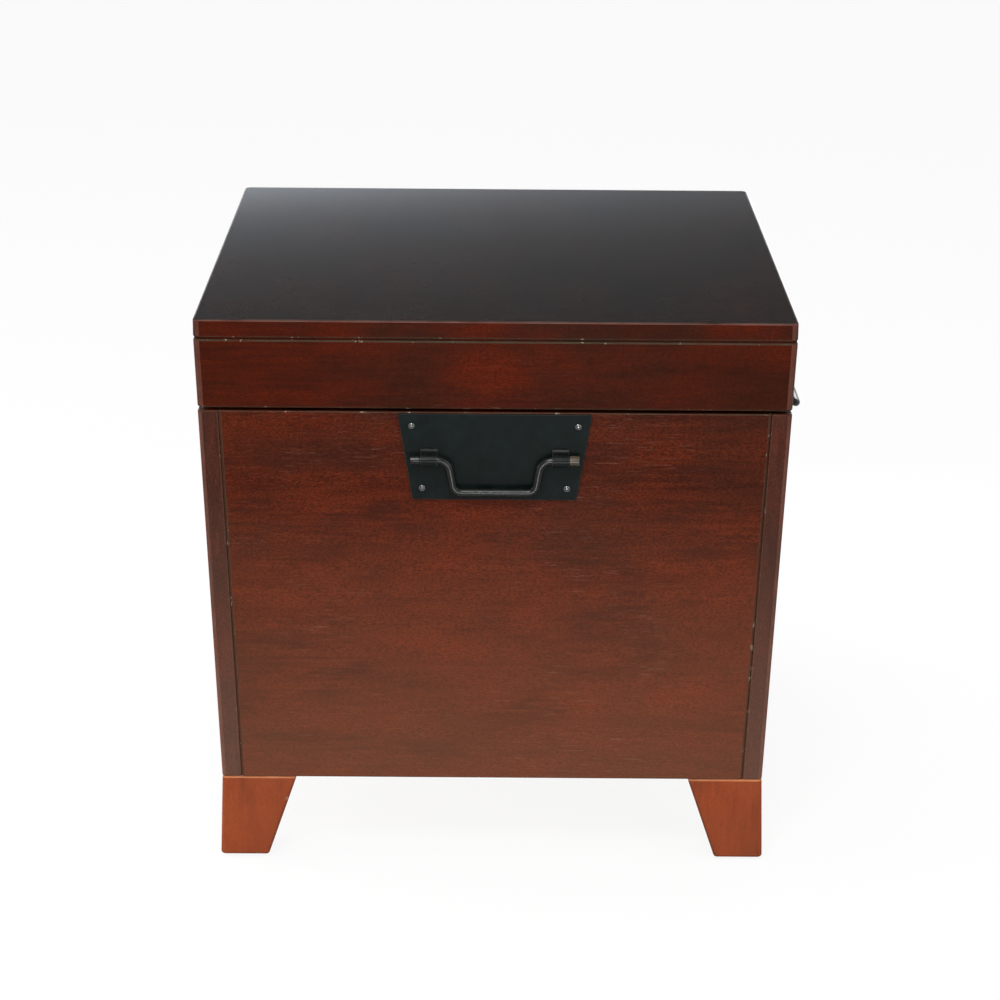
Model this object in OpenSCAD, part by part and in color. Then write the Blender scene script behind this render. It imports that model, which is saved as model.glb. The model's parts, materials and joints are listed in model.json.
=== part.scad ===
// Trunk end table: a case of leaning boards on four block feet, closed by a hinged
// trunk lid, with an iron bail handle on the front and on each side.
// Millimetres. +Z is up, the front faces -Y, and the origin lies on the floor
// under the middle of the whole table, its handles and hinges included.

/* [Overall] */
// Width of the top, side to side
lid_width = 559; // [440:1:760]
// Depth of the top, front to back
lid_depth = 610; // [500:1:820]
// Lean of every outer face below the top board, in degrees from upright
lean_angle = 2.2; // [0.6:0.1:3.6]

/* [Boards] */
// Thickness of the boards of the case and of the lid rails
board_thickness = 19; // [15:0.5:22]
// Thickness of the top board
top_thickness = 19; // [15:0.5:26]
// Width of the eased edge round the top board
top_ease = 1.2; // [0.6:0.1:2.5]
// Height of the lid rails under the top board
lid_rail_height = 66; // [55:1:90]
// Height of the shadow gap between the lid and the case
lid_gap = 2.8; // [2:0.1:4]
// Height of the case from its lower edge to the shadow gap
case_height = 373; // [300:1:450]
// Thickness of the bottom panel
bottom_thickness = 12; // [6:0.5:15]
// Width of the open line where one board meets another
reveal_width = 1.8; // [0.6:0.1:2]
// Depth of that open line
reveal_depth = 1.8; // [0.8:0.1:2.5]

/* [Blocks and cleats] */
// Width and height of the cleats that carry the bottom panel
cleat_size = 20; // [15:1:26]
// Length of each side of a corner block under the bottom panel
corner_block_size = 60; // [54:1:75]
// Length of each side of a glue block in a lid corner
lid_block_size = 48; // [35:1:60]
// Height of a glue block in a lid corner
lid_block_height = 40; // [25:1:45]
// Radius of a rubber bumper under the lid
bumper_radius = 5; // [3:0.5:7]
// Distance of each bumper from the front or back face of the lid
bumper_inset = 34; // [28:1:80]

/* [Feet] */
// Height of a block foot
foot_height = 81.5; // [60:0.5:110]
// Width of a foot where it meets the case
foot_top_width = 72.5; // [66:0.5:85]
// Width of a foot at its lower end
foot_bottom_width = 47; // [40:0.5:60]
// Distance that a foot's outer faces run outwards on the way down
foot_splay = 2.6; // [0:0.1:6]
// Size of the eased edge round the lower end of a foot
foot_ease = 2; // [1:0.1:4]
// Radius of the glide under a foot
glide_radius = 11; // [8:0.5:15]
// Height of the glide
glide_height = 3.2; // [2:0.1:5]
// How far the glide lies inwards from the middle of the foot's bottom
glide_inset = 4.5; // [0:0.5:8]
// Radius of the glide's nail
glide_nail_radius = 1.5; // [1:0.1:2.5]
// Length of the glide's nail
glide_nail_length = 14; // [10:0.5:20]
// Radius of the bolt that holds a foot
bolt_radius = 4; // [3:0.5:5]
// Length of the bolt inside the foot
bolt_grip = 34; // [24:1:40]
// Radius of the bolt's button head
bolt_head_radius = 7; // [6.5:0.5:8]
// Height of the bolt's button head
bolt_head_height = 4.4; // [3.6:0.1:6]

/* [Handles] */
// Width of a handle plate at its top
plate_top_width = 181; // [172:1:200]
// Width of a handle plate at its bottom
plate_bottom_width = 154; // [150:1:170]
// Height of a handle plate
plate_height = 84; // [80:1:96]
// Thickness of a handle plate
plate_thickness = 2; // [1.2:0.1:3]
// Radius of a plate's lower corners
plate_corner_radius = 2.5; // [2:0.5:6]
// Distance from the case's upper edge to the plate's top
plate_drop = 1.2; // [0.6:0.1:12]
// Distance from the plate's top down to the bail's swing axis
axis_below_plate_top = 43; // [41:0.5:45]
// Diameter of the bail's round bar
bar_diameter = 8; // [6:0.5:9]
// Distance between the inner ends of the two knuckles
bail_span = 107; // [100:1:112]
// Distance from the swing axis to the middle of the grip bar
bail_drop = 31.3; // [28:0.1:35]
// Radius of the bend beside each knuckle
upper_bend = 12; // [9:0.5:13]
// Radius of the bend at each end of the grip
lower_bend = 8; // [6:0.5:10]
// Angle that the bar turns through at each bend
bend_turn = 80; // [70:1:86]
// Length of each rolled knuckle
knuckle_length = 16; // [12:0.5:18]
// Thickness of the strap that the knuckles are rolled from
strap_thickness = 1.9; // [1.4:0.1:2.4]
// Height of the strap's flat root above the swing axis
strap_root = 9.5; // [8:0.5:11]
// Diameter of the upset head on each end of the bar
bar_head_diameter = 9.5; // [9.5:0.5:11]
// Length of the upset head
bar_head_length = 9.4; // [6:0.2:10]
// Distance of the upper screws from the plate's top, and of the lower ones from its bottom
plate_screw_inset = 11.5; // [9:0.5:14]
// Distance of each screw from the plate's slanting side
plate_screw_margin = 11; // [9:0.5:13]
// Radius of a handle screw's domed head
dome_radius = 3.4; // [2.6:0.1:4]
// Angle by which the right bail is left standing out from hanging
right_bail_out = 54; // [10:1:80]

/* [Hinges] */
// Length of a hinge
hinge_length = 76; // [60:1:90]
// Distance from the lid's side face to the middle of a hinge
hinge_inset = 105; // [90:1:150]
// Radius of a hinge's barrel
barrel_radius = 4.7; // [4.2:0.1:5]
// Radius of a hinge's pin
hinge_pin_radius = 2.4; // [1.8:0.1:3]
// Thickness of a hinge's leaves
leaf_thickness = 2; // [1.5:0.1:2.4]
// Height of each leaf from the swing axis
leaf_height = 42; // [36:1:50]
// Distance of the swing axis below the case's upper edge
hinge_axis_drop = 7.6; // [7.4:0.1:9]

/* [Lid stays] */
// Angle that the stays hold the lid open at
lid_open_angle = 75; // [60:1:76]
// Distance between the two pivots of a stay's arm
stay_arm_length = 170; // [150:1:200]
// Height of the arm's upper pivot above the lid's swing axis
stay_pivot_rise = 26; // [22:0.5:30]
// Width of the arm between its eyes
stay_arm_width = 12; // [9:0.5:12.5]
// Radius of the eye at each end of the arm
stay_eye_radius = 7.5; // [7:0.1:8]
// Thickness of the arm
stay_arm_thickness = 2.5; // [2:0.1:3]
// Height of the channel that the arm's stud slides in
channel_height = 14; // [13:0.5:14.5]
// Depth of the channel
channel_depth = 7; // [6.5:0.1:8]
// Wall of the channel
channel_wall = 1.5; // [1.2:0.1:1.8]
// Radius of the stud's neck between the channel's lips
stud_neck_radius = 2.6; // [2:0.1:3]
// Radius of the stud's head inside the channel
stud_head_radius = 4.6; // [4.2:0.1:4.8]

/* [Small screws] */
// Radius of a screw's shank
screw_radius = 1.7; // [1.3:0.1:2]
// Length of a screw inside the wood
screw_grip = 13; // [9:0.5:14]
// Radius of a hinge or stay screw's pan head
pan_radius = 3.4; // [3:0.1:3.8]
// Height of that pan head
pan_height = 1.6; // [1.2:0.1:2.2]

/* [Fits] */
// Gap left by the glue between two boards
glue_line = 0.1; // [0:0.05:0.3]
// Gap between a fitting and the board that it is screwed to
seat_gap = 0.1; // [0.05:0.05:0.3]
// Gap between surfaces that swing past each other
swing_gap = 0.4; // [0.3:0.05:0.8]
// Radial clearance of a bar, pin or stud that turns in its hole
turning_fit = 0.08; // [0.04:0.01:0.1]
// Radial clearance of a screw or bolt in its hole
hole_clearance = 0.15; // [0.05:0.05:0.3]

/* [Hidden] */
$fn = 48;

// Colours of the finishes
stain = [0.36, 0.14, 0.08];
stain_top = [0.20, 0.13, 0.11];
stain_foot = [0.55, 0.27, 0.17];
bare_wood = [0.76, 0.60, 0.42];
ply_face = [0.80, 0.68, 0.52];
iron = [0.13, 0.15, 0.15];
worn_iron = [0.32, 0.32, 0.31];
zinc = [0.72, 0.72, 0.70];
soft_black = [0.08, 0.08, 0.08];

// Heights above the floor
foot_z = glide_height;
case_z = foot_z + foot_height;
case_top_z = case_z + case_height;
rail_z = case_top_z + lid_gap;
rail_top_z = rail_z + lid_rail_height;
top_z = rail_top_z + top_thickness;
floor_panel_z = case_z + cleat_size;
floor_panel_top_z = floor_panel_z + bottom_thickness;

// A leaning face moves inwards by lean_run for each millimetre below the top board
lean_run = tan(lean_angle);
wall = board_thickness / cos(lean_angle);
inner = wall + glue_line;
function half_width(z) = lid_width / 2 - lean_run * (rail_top_z - z);
function half_depth(z) = lid_depth / 2 - lean_run * (rail_top_z - z);
// Longer than any board, for shapes that are cut to length by another outline
reach = 2 * (lid_width + lid_depth);
// How far a hole or a cut runs past what it passes through
past = 1;

// Handle
bar_radius = bar_diameter / 2;
knuckle_radius = bar_radius + turning_fit + strap_thickness;
plate_top_z = case_top_z - plate_drop;
handle_z = plate_top_z - axis_below_plate_top;
// Distance of the swing axis from the leaning face, square to it
handle_offset = seat_gap + plate_thickness + seat_gap + knuckle_radius;
handle_axis_z = handle_z - handle_offset * sin(lean_angle);
front_axis_y = half_depth(handle_z) + handle_offset * cos(lean_angle);
side_axis_x = half_width(handle_z) + handle_offset * cos(lean_angle);
arm_straight = (bail_drop - (upper_bend + lower_bend) * (1 - cos(bend_turn))) / sin(bend_turn);
bend_run = (upper_bend + lower_bend) * sin(bend_turn) + arm_straight * cos(bend_turn);
grip_half = bail_span / 2 - bend_run;
bail_half = bail_span / 2 + knuckle_length + swing_gap;

// Hinge: the swing axis lies square off the back face by hinge_offset
hinge_offset = barrel_radius + swing_gap;
hinge_z = case_top_z - hinge_axis_drop;
hinge_face_z = hinge_z + hinge_offset * sin(lean_angle);
hinge_y = half_depth(hinge_face_z) + hinge_offset * cos(lean_angle);
hinge_x = lid_width / 2 - hinge_inset;
hinge_bore = hinge_pin_radius + turning_fit;
knuckle_share = (hinge_length - 2 * swing_gap) / 3;
// Two screws of a leaf sit wide apart near its knuckles, and two closer near its edge
leaf_screw_rows = [leaf_height * 0.42, leaf_height * 0.76];
leaf_screw_spreads = [hinge_length * 0.36, hinge_length * 0.18];

// Stay: arm and lid pivot are equally long, so the arm's stud runs level with the axis
stay_rest_angle = asin(stay_pivot_rise / stay_arm_length);
stay_pivot_run = stay_arm_length * cos(stay_rest_angle);
stud_run = 2 * stay_pivot_run;
stud_run_open = 2 * stay_arm_length * cos(stay_rest_angle + lid_open_angle);
channel_end_margin = 2;
channel_screw_inset = 10;
channel_back = stud_run_open - stud_head_radius - channel_end_margin;
channel_front = stud_run + stud_head_radius + channel_end_margin;
channel_face_x = half_width(hinge_z) - wall - seat_gap;
arm_outer_x = channel_face_x - channel_depth - swing_gap;
arm_inner_x = arm_outer_x - stay_arm_thickness;
pivot_z = hinge_z + stay_pivot_rise;
pivot_y = hinge_y - stay_pivot_run;
stud_y = hinge_y - stud_run;
pivot_radius = 3;
shoulder_radius = pivot_radius + 1.5;
rivet_radius = pivot_radius + 1.8;
stud_head_thickness = 2;
rivet_thickness = 1.6;
bracket_size = [30, 24];
bracket_thickness = 2;
stay_screw_spacing = 20;

// The origin stands under the middle of the whole outline
left_reach = max(lid_width / 2, side_axis_x + knuckle_radius);
right_reach = max(left_reach, side_axis_x + bail_drop * sin(right_bail_out) + bar_radius);
front_reach = max(lid_depth / 2, front_axis_y + knuckle_radius);
back_reach = max(lid_depth / 2, hinge_y + barrel_radius);
middle_x = (right_reach - left_reach) / 2;
middle_y = (back_reach - front_reach) / 2;

module placed() {
    translate([-middle_x, -middle_y, 0]) children();
}

// A solid with one outline seen from the front and another seen from the side
module crossed(front_view, side_view) {
    intersection() {
        rotate([90, 0, 0]) linear_extrude(height = reach, center = true) polygon(front_view);
        rotate([90, 0, 90]) linear_extrude(height = reach, center = true) polygon(side_view);
    }
}

// Outline of the whole table between two heights, drawn in by inset on both sides
function body_width(z0, z1, inset = 0) = [
    [-half_width(z0) + inset, z0], [half_width(z0) - inset, z0],
    [half_width(z1) - inset, z1], [-half_width(z1) + inset, z1]
];
function body_depth(z0, z1, inset = 0) = [
    [-half_depth(z0) + inset, z0], [half_depth(z0) - inset, z0],
    [half_depth(z1) - inset, z1], [-half_depth(z1) + inset, z1]
];
// Leaning strip on the plus side, from depth a to depth b behind the outer face
function strip_width(z0, z1, a, b) = [
    [half_width(z0) - b, z0], [half_width(z0) - a, z0],
    [half_width(z1) - a, z1], [half_width(z1) - b, z1]
];
function strip_depth(z0, z1, a, b) = [
    [half_depth(z0) - b, z0], [half_depth(z0) - a, z0],
    [half_depth(z1) - a, z1], [half_depth(z1) - b, z1]
];

module mirror_x() {
    children();
    mirror([1, 0, 0]) children();
}
module mirror_y() {
    children();
    mirror([0, 1, 0]) children();
}

// Frames on a leaning face: local -Y points out of the face and local Z runs up along it
module on_front(z) {
    translate([0, -half_depth(z), z]) rotate([lean_angle, 0, 0]) children();
}
module on_right(z) {
    translate([half_width(z), 0, z]) rotate([0, 0, 90]) rotate([lean_angle, 0, 0]) children();
}
module on_left(z) {
    translate([-half_width(z), 0, z]) rotate([0, 0, -90]) rotate([lean_angle, 0, 0]) children();
}
// Frame on the hinge's swing axis, leaning as the back face does, local +Y out of the face
module on_hinge_axis(x) {
    translate([x, hinge_y, hinge_z]) rotate([-lean_angle, 0, 0]) children();
}

module rod_x(radius, length) {
    rotate([0, 90, 0]) cylinder(r = radius, h = length, center = true);
}

// A round hole or shank that runs from y = 0 along +Y
module rod_y(radius, length) {
    rotate([-90, 0, 0]) cylinder(r = radius, h = length);
}

// Screw holes of a handle, cut into the board behind its plate
module handle_pilots() {
    for (p = plate_screw_places())
        translate([p[0], -seat_gap, p[1]])
            rod_y(screw_radius + hole_clearance, screw_grip + seat_gap + hole_clearance);
}

// Case boards
module side_panel() {
    crossed(strip_width(case_z, case_top_z, 0, wall), body_depth(case_z, case_top_z));
}

module stay_case_pilots() {
    for (y = stay_case_screw_runs())
        translate([channel_face_x, hinge_y - y, hinge_z])
            rotate([0, 90, 0])
                cylinder(r = screw_radius + hole_clearance, h = screw_grip + past);
}

module right_side_panel() {
    color(stain) placed() difference() {
        side_panel();
        on_right(handle_z) handle_pilots();
        stay_case_pilots();
    }
}

module left_side_panel() {
    color(stain) placed() difference() {
        mirror([1, 0, 0]) side_panel();
        on_left(handle_z) handle_pilots();
        mirror([1, 0, 0]) stay_case_pilots();
    }
}

// A board between the two side boards, cut back along each end for the open line
module end_panel() {
    low = case_z - past;
    high = case_top_z + past;
    difference() {
        crossed(
            body_width(case_z, case_top_z, inner),
            strip_depth(case_z, case_top_z, 0, wall)
        );
        mirror_x() crossed(
            strip_width(low, high, inner - past, inner + reveal_width),
            strip_depth(low, high, -past, reveal_depth)
        );
    }
}

module front_panel() {
    color(stain) placed() difference() {
        mirror([0, 1, 0]) end_panel();
        on_front(handle_z) handle_pilots();
    }
}

module back_panel() {
    color(stain) placed() difference() {
        end_panel();
        for (x = [-hinge_x, hinge_x])
            on_hinge_axis(x) leaf_pilots(-1);
    }
}

module bottom_panel() {
    color(ply_face) placed() difference() {
        crossed(
            body_width(floor_panel_z, floor_panel_top_z, inner),
            body_depth(floor_panel_z, floor_panel_top_z, inner)
        );
        foot_bolt_holes();
    }
}

// Cleats round the lower edge, between the corner blocks
module bottom_cleats() {
    side_length = inner + corner_block_size + glue_line;
    color(bare_wood) placed() {
        mirror_y() crossed(
            body_width(case_z, floor_panel_z, side_length),
            strip_depth(case_z, floor_panel_z, inner, inner + cleat_size)
        );
        mirror_x() crossed(
            strip_width(case_z, floor_panel_z, inner, inner + cleat_size),
            body_depth(case_z, floor_panel_z, side_length)
        );
    }
}

module corner_blocks() {
    color(bare_wood) placed() difference() {
        mirror_x() mirror_y() crossed(
            strip_width(case_z, floor_panel_z, inner, inner + corner_block_size),
            strip_depth(case_z, floor_panel_z, inner, inner + corner_block_size)
        );
        foot_bolt_holes();
    }
}

// Feet
foot_middle = foot_top_width / 2;
bolt_x = half_width(case_z) - foot_middle;
bolt_y = half_depth(case_z) - foot_middle;
glide_from_edge = foot_bottom_width / 2 + glide_inset;
glide_x = half_width(case_z) + foot_splay - glide_from_edge;
glide_y = half_depth(case_z) + foot_splay - glide_from_edge;

// Outline of a foot against the outer face's distance from the middle
function foot_view(face) = [
    [face - foot_top_width, case_z], [face, case_z],
    [face + foot_splay, foot_z + foot_ease],
    [face + foot_splay - foot_ease, foot_z],
    [face + foot_splay - foot_bottom_width + foot_ease, foot_z],
    [face + foot_splay - foot_bottom_width, foot_z + foot_ease]
];

module foot_bolt_holes() {
    mirror_x() mirror_y() translate([bolt_x, bolt_y, case_z - bolt_grip - past])
        cylinder(
            r = bolt_radius + hole_clearance,
            h = floor_panel_top_z - case_z + bolt_grip + 2 * past
        );
}

module foot() {
    difference() {
        crossed(foot_view(half_width(case_z)), foot_view(half_depth(case_z)));
        foot_bolt_holes();
        translate([glide_x, glide_y, foot_z - past])
            cylinder(r = glide_nail_radius + hole_clearance, h = glide_nail_length + 2 * past);
    }
}

module front_left_foot() {
    color(stain_foot) placed() mirror([1, 0, 0]) mirror([0, 1, 0]) foot();
}
module front_right_foot() {
    color(stain_foot) placed() mirror([0, 1, 0]) foot();
}
module rear_left_foot() {
    color(stain_foot) placed() mirror([1, 0, 0]) foot();
}
module rear_right_foot() {
    color(stain_foot) placed() foot();
}

// Nail-on glides, each turned as one profile with its nail
module foot_glides() {
    rim = glide_height * 0.4;
    color(soft_black) placed() mirror_x() mirror_y() translate([glide_x, glide_y, 0])
        rotate_extrude() polygon([
            [0, 0], [glide_radius - rim, 0], [glide_radius, rim],
            [glide_radius, glide_height - seat_gap],
            [glide_nail_radius, glide_height - seat_gap],
            [glide_nail_radius, glide_height + glide_nail_length], [0, glide_height + glide_nail_length]
        ]);
}

// Button-head bolts through the bottom panel and corner blocks into the feet
module foot_bolts() {
    socket_radius = bolt_head_radius * 0.45;
    socket_depth = bolt_head_height * 0.6;
    crown_radius = bolt_head_radius * 0.7;
    color(zinc) placed() mirror_x() mirror_y() translate([bolt_x, bolt_y, 0]) difference() {
        union() {
            translate([0, 0, case_z - bolt_grip])
                cylinder(r = bolt_radius, h = floor_panel_top_z - case_z + bolt_grip + seat_gap);
            translate([0, 0, floor_panel_top_z + seat_gap])
                cylinder(r1 = bolt_head_radius, r2 = crown_radius, h = bolt_head_height);
        }
        translate([0, 0, floor_panel_top_z + seat_gap + bolt_head_height - socket_depth])
            cylinder(r = socket_radius, h = socket_depth + past, $fn = 6);
    }
}

// Lid
module top_board() {
    x = lid_width / 2;
    y = lid_depth / 2;
    low = rail_top_z + reveal_width;
    high = top_z - top_ease;
    color(stain_top) placed() {
        crossed(
            [[-x, low], [x, low], [x, high], [x - top_ease, top_z], [top_ease - x, top_z], [-x, high]],
            [[-y, low], [y, low], [y, high], [y - top_ease, top_z], [top_ease - y, top_z], [-y, high]]
        );
        translate([reveal_depth - x, reveal_depth - y, rail_top_z])
            cube([2 * (x - reveal_depth), 2 * (y - reveal_depth), reveal_width + past]);
    }
}

// Plan of the mitred corner region that belongs to the rail on the +Y side
module back_mitre() {
    x = lid_width / 2;
    y = lid_depth / 2;
    deep = 2 * wall;
    translate([0, 0, rail_z - past]) linear_extrude(height = lid_rail_height + 2 * past) polygon([
        [-x - deep + glue_line, y + deep], [x + deep - glue_line, y + deep],
        [x - deep - glue_line, y - deep], [-x + deep + glue_line, y - deep]
    ]);
}

module end_rail() {
    intersection() {
        crossed(
            body_width(rail_z, rail_top_z),
            strip_depth(rail_z, rail_top_z, 0, wall)
        );
        back_mitre();
    }
}

module side_rail() {
    difference() {
        crossed(
            strip_width(rail_z, rail_top_z, 0, wall),
            body_depth(rail_z, rail_top_z)
        );
        mirror_y() translate([0, -glue_line, 0]) back_mitre();
    }
}

module lid_front_rail() {
    color(stain) placed() mirror([0, 1, 0]) end_rail();
}

module lid_back_rail() {
    color(stain) placed() difference() {
        end_rail();
        for (x = [-hinge_x, hinge_x])
            on_hinge_axis(x) leaf_pilots(1);
    }
}

module right_rail() {
    difference() {
        side_rail();
        for (dy = [-0.5, 0.5] * stay_screw_spacing)
            translate([half_width(pivot_z) - wall - past, pivot_y + dy, pivot_z])
                rotate([0, 90 + lean_angle, 0])
                    cylinder(r = screw_radius + hole_clearance, h = screw_grip + 2 * past);
    }
}

module lid_right_rail() {
    color(stain) placed() right_rail();
}

module lid_left_rail() {
    color(stain) placed() mirror([1, 0, 0]) right_rail();
}

// Three-cornered glue blocks under the top board
module lid_corner_blocks() {
    z0 = rail_top_z - lid_block_height;
    x = half_width(rail_top_z) - inner;
    y = half_depth(rail_top_z) - inner;
    color(bare_wood) placed() mirror_x() mirror_y() intersection() {
        crossed(
            strip_width(z0, rail_top_z, inner, inner + lid_block_size),
            strip_depth(z0, rail_top_z, inner, inner + lid_block_size)
        );
        translate([0, 0, z0]) linear_extrude(height = lid_block_height) polygon([
            [x + past, y + past], [x - lid_block_size, y + past], [x + past, y - lid_block_size]
        ]);
    }
}

// Rubber bumpers that carry the closed lid on the side boards
module lid_bumpers() {
    color(soft_black) placed() mirror_x() mirror_y()
        translate([
            half_width(rail_z) - wall / 2, half_depth(rail_z) - bumper_inset,
            case_top_z + seat_gap
        ])
        cylinder(r = bumper_radius, h = lid_gap - seat_gap);
}

// Handle parts, all drawn in the frame of the leaning face at the swing axis' height
plate_up = axis_below_plate_top;
plate_down = plate_height - axis_below_plate_top;
plate_slope = (plate_top_width - plate_bottom_width) / 2 / plate_height;
function plate_half(z) = plate_bottom_width / 2 + plate_slope * (z + plate_down);
function plate_screw_places() = [
    for (z = [plate_up - plate_screw_inset, plate_screw_inset - plate_down])
        for (side = [-1, 1]) [side * (plate_half(z) - plate_screw_margin), z]
];

module handle_plate() {
    r = plate_corner_radius;
    slant = sqrt(1 + plate_slope * plate_slope);
    corner_x = plate_bottom_width / 2 + plate_slope * r - r * slant;
    edge_x = corner_x + r / slant;
    edge_z = r - plate_down - r * plate_slope / slant;
    translate([0, -seat_gap, 0]) difference() {
        union() {
            rotate([90, 0, 0]) linear_extrude(height = plate_thickness) polygon([
                [-corner_x, -plate_down], [corner_x, -plate_down], [edge_x, edge_z],
                [plate_top_width / 2, plate_up], [-plate_top_width / 2, plate_up], [-edge_x, edge_z]
            ]);
            for (side = [-1, 1])
                translate([side * corner_x, -plate_thickness, r - plate_down])
                    rod_y(r, plate_thickness);
        }
        for (p = plate_screw_places())
            translate([p[0], -plate_thickness - past, p[1]])
                rod_y(screw_radius + hole_clearance, plate_thickness + 2 * past);
    }
}

// A knuckle rolled from strap: a flat root on the plate and an open roll round the bar
module handle_knuckle() {
    root_face = handle_offset - knuckle_radius;
    seam_width = 1;
    seam_start = bar_radius * 0.4;
    translate([bail_span / 2 + knuckle_length / 2, 0, 0]) difference() {
        union() {
            translate([0, -handle_offset, 0]) rod_x(knuckle_radius, knuckle_length);
            translate([-knuckle_length / 2, -root_face - strap_thickness, 0])
                cube([knuckle_length, strap_thickness, strap_root]);
        }
        translate([0, -handle_offset, 0]) rod_x(bar_radius + turning_fit, knuckle_length + 2 * past);
        translate([-knuckle_length / 2 - past, -root_face - strap_thickness - seam_width, seam_start])
            cube([knuckle_length + 2 * past, seam_width, knuckle_radius]);
    }
}

// Domed screws with straight shanks
module handle_screws() {
    dome_height = dome_radius * 0.62;
    ball = (dome_radius * dome_radius + dome_height * dome_height) / (2 * dome_height);
    for (p = plate_screw_places())
        translate([p[0], -2 * seat_gap - plate_thickness, p[1]]) {
            rod_y(screw_radius, plate_thickness + 2 * seat_gap + screw_grip);
            intersection() {
                translate([0, ball - dome_height, 0]) sphere(r = ball);
                translate([0, -dome_height, 0]) rod_y(dome_radius, dome_height);
            }
        }
}

// One bend of the bar about a middle, from angle start through bend_turn. It laps the
// straight bar at both ends, and is a hair fuller, as a cold bend is.
module bar_bend(radius, start) {
    lap = 1;
    swell = 0.03;
    rotate([90, 0, 0]) rotate([0, 0, start - lap])
        rotate_extrude(angle = bend_turn + 2 * lap)
            translate([radius, 0]) circle(r = bar_radius + swell);
}

// Round bar bent twice on each side and upset outside each knuckle, hanging straight down
module bail() {
    turn_x = bail_span / 2;
    arm_x = turn_x - upper_bend * sin(bend_turn);
    arm_z = -upper_bend * (1 - cos(bend_turn));
    translate([0, 0, -bail_drop]) rod_x(bar_radius, 2 * grip_half);
    mirror_x() {
        translate([grip_half, 0, lower_bend - bail_drop]) bar_bend(lower_bend, -90);
        translate([arm_x, 0, arm_z])
            rotate([0, 270 - bend_turn, 0]) cylinder(r = bar_radius, h = arm_straight);
        translate([turn_x, 0, -upper_bend]) bar_bend(upper_bend, 90);
        translate([turn_x, 0, 0]) rotate([0, 90, 0])
            cylinder(r = bar_radius, h = bail_half - turn_x);
        translate([bail_half, 0, 0]) rotate([0, 90, 0])
            cylinder(r = bar_head_diameter / 2, h = bar_head_length);
    }
}

module front_handle_plate() {
    color(iron) placed() on_front(handle_z) handle_plate();
}
module front_handle_knuckles() {
    color(iron) placed() on_front(handle_z) mirror_x() handle_knuckle();
}
module front_handle_screws() {
    color(zinc) placed() on_front(handle_z) handle_screws();
}
module front_bail() {
    color(worn_iron) placed() translate([0, -front_axis_y, handle_axis_z]) bail();
}

module left_handle_plate() {
    color(iron) placed() on_left(handle_z) handle_plate();
}
module left_handle_knuckles() {
    color(iron) placed() on_left(handle_z) mirror_x() handle_knuckle();
}
module left_handle_screws() {
    color(zinc) placed() on_left(handle_z) handle_screws();
}
module left_bail() {
    color(worn_iron) placed() translate([-side_axis_x, 0, handle_axis_z])
        rotate([0, 0, -90]) bail();
}

module right_handle_plate() {
    color(iron) placed() on_right(handle_z) handle_plate();
}
module right_handle_knuckles() {
    color(iron) placed() on_right(handle_z) mirror_x() handle_knuckle();
}
module right_handle_screws() {
    color(zinc) placed() on_right(handle_z) handle_screws();
}
module right_bail() {
    color(worn_iron) placed() translate([side_axis_x, 0, handle_axis_z])
        rotate([0, 0, 90]) rotate([-right_bail_out, 0, 0]) bail();
}

// Hinges. In the frame of the swing axis the wood's face lies at y = -hinge_offset,
// and way is 1 for the leaf on the lid and -1 for the leaf on the case.
function leaf_screw_places(way) = [
    for (row = [0, 1]) for (side = [-1, 1])
        [side * leaf_screw_spreads[row], way * leaf_screw_rows[row]]
];

module leaf_pilots(way) {
    for (p = leaf_screw_places(way))
        translate([p[0], -hinge_offset + seat_gap, p[1]])
            mirror([0, 1, 0])
                rod_y(screw_radius + hole_clearance, screw_grip + seat_gap + hole_clearance);
}

module leaf(way) {
    back_y = seat_gap - hinge_offset;
    clear = barrel_radius + swing_gap;
    difference() {
        translate([-hinge_length / 2, back_y, way > 0 ? clear : -leaf_height])
            cube([hinge_length, leaf_thickness, leaf_height - clear]);
        for (p = leaf_screw_places(way))
            translate([p[0], back_y - past, p[1]])
                rod_y(screw_radius + hole_clearance, leaf_thickness + 2 * past);
    }
}

// One knuckle of the barrel with the web that joins it to its leaf
module barrel(x, length, way) {
    back_y = seat_gap - hinge_offset;
    web_height = barrel_radius + swing_gap + past;
    translate([x, 0, 0]) difference() {
        union() {
            rod_x(barrel_radius, length);
            translate([-length / 2, back_y, way > 0 ? 0 : -web_height])
                cube([length, leaf_thickness, web_height]);
        }
        rod_x(hinge_bore, length + 2 * past);
    }
}

module case_leaf() {
    leaf(-1);
    mirror_x() barrel(hinge_length / 2 - knuckle_share / 2, knuckle_share, -1);
}
module lid_leaf() {
    leaf(1);
    barrel(0, knuckle_share, 1);
}
module hinge_pin() {
    rod_x(hinge_pin_radius, hinge_length);
}

module left_hinge_case_leaf() {
    color(iron) placed() on_hinge_axis(-hinge_x) case_leaf();
}
module left_hinge_lid_leaf() {
    color(iron) placed() on_hinge_axis(-hinge_x) lid_leaf();
}
module left_hinge_pin() {
    color(zinc) placed() on_hinge_axis(-hinge_x) hinge_pin();
}
module right_hinge_case_leaf() {
    color(iron) placed() on_hinge_axis(hinge_x) case_leaf();
}
module right_hinge_lid_leaf() {
    color(iron) placed() on_hinge_axis(hinge_x) lid_leaf();
}
module right_hinge_pin() {
    color(zinc) placed() on_hinge_axis(hinge_x) hinge_pin();
}

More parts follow.
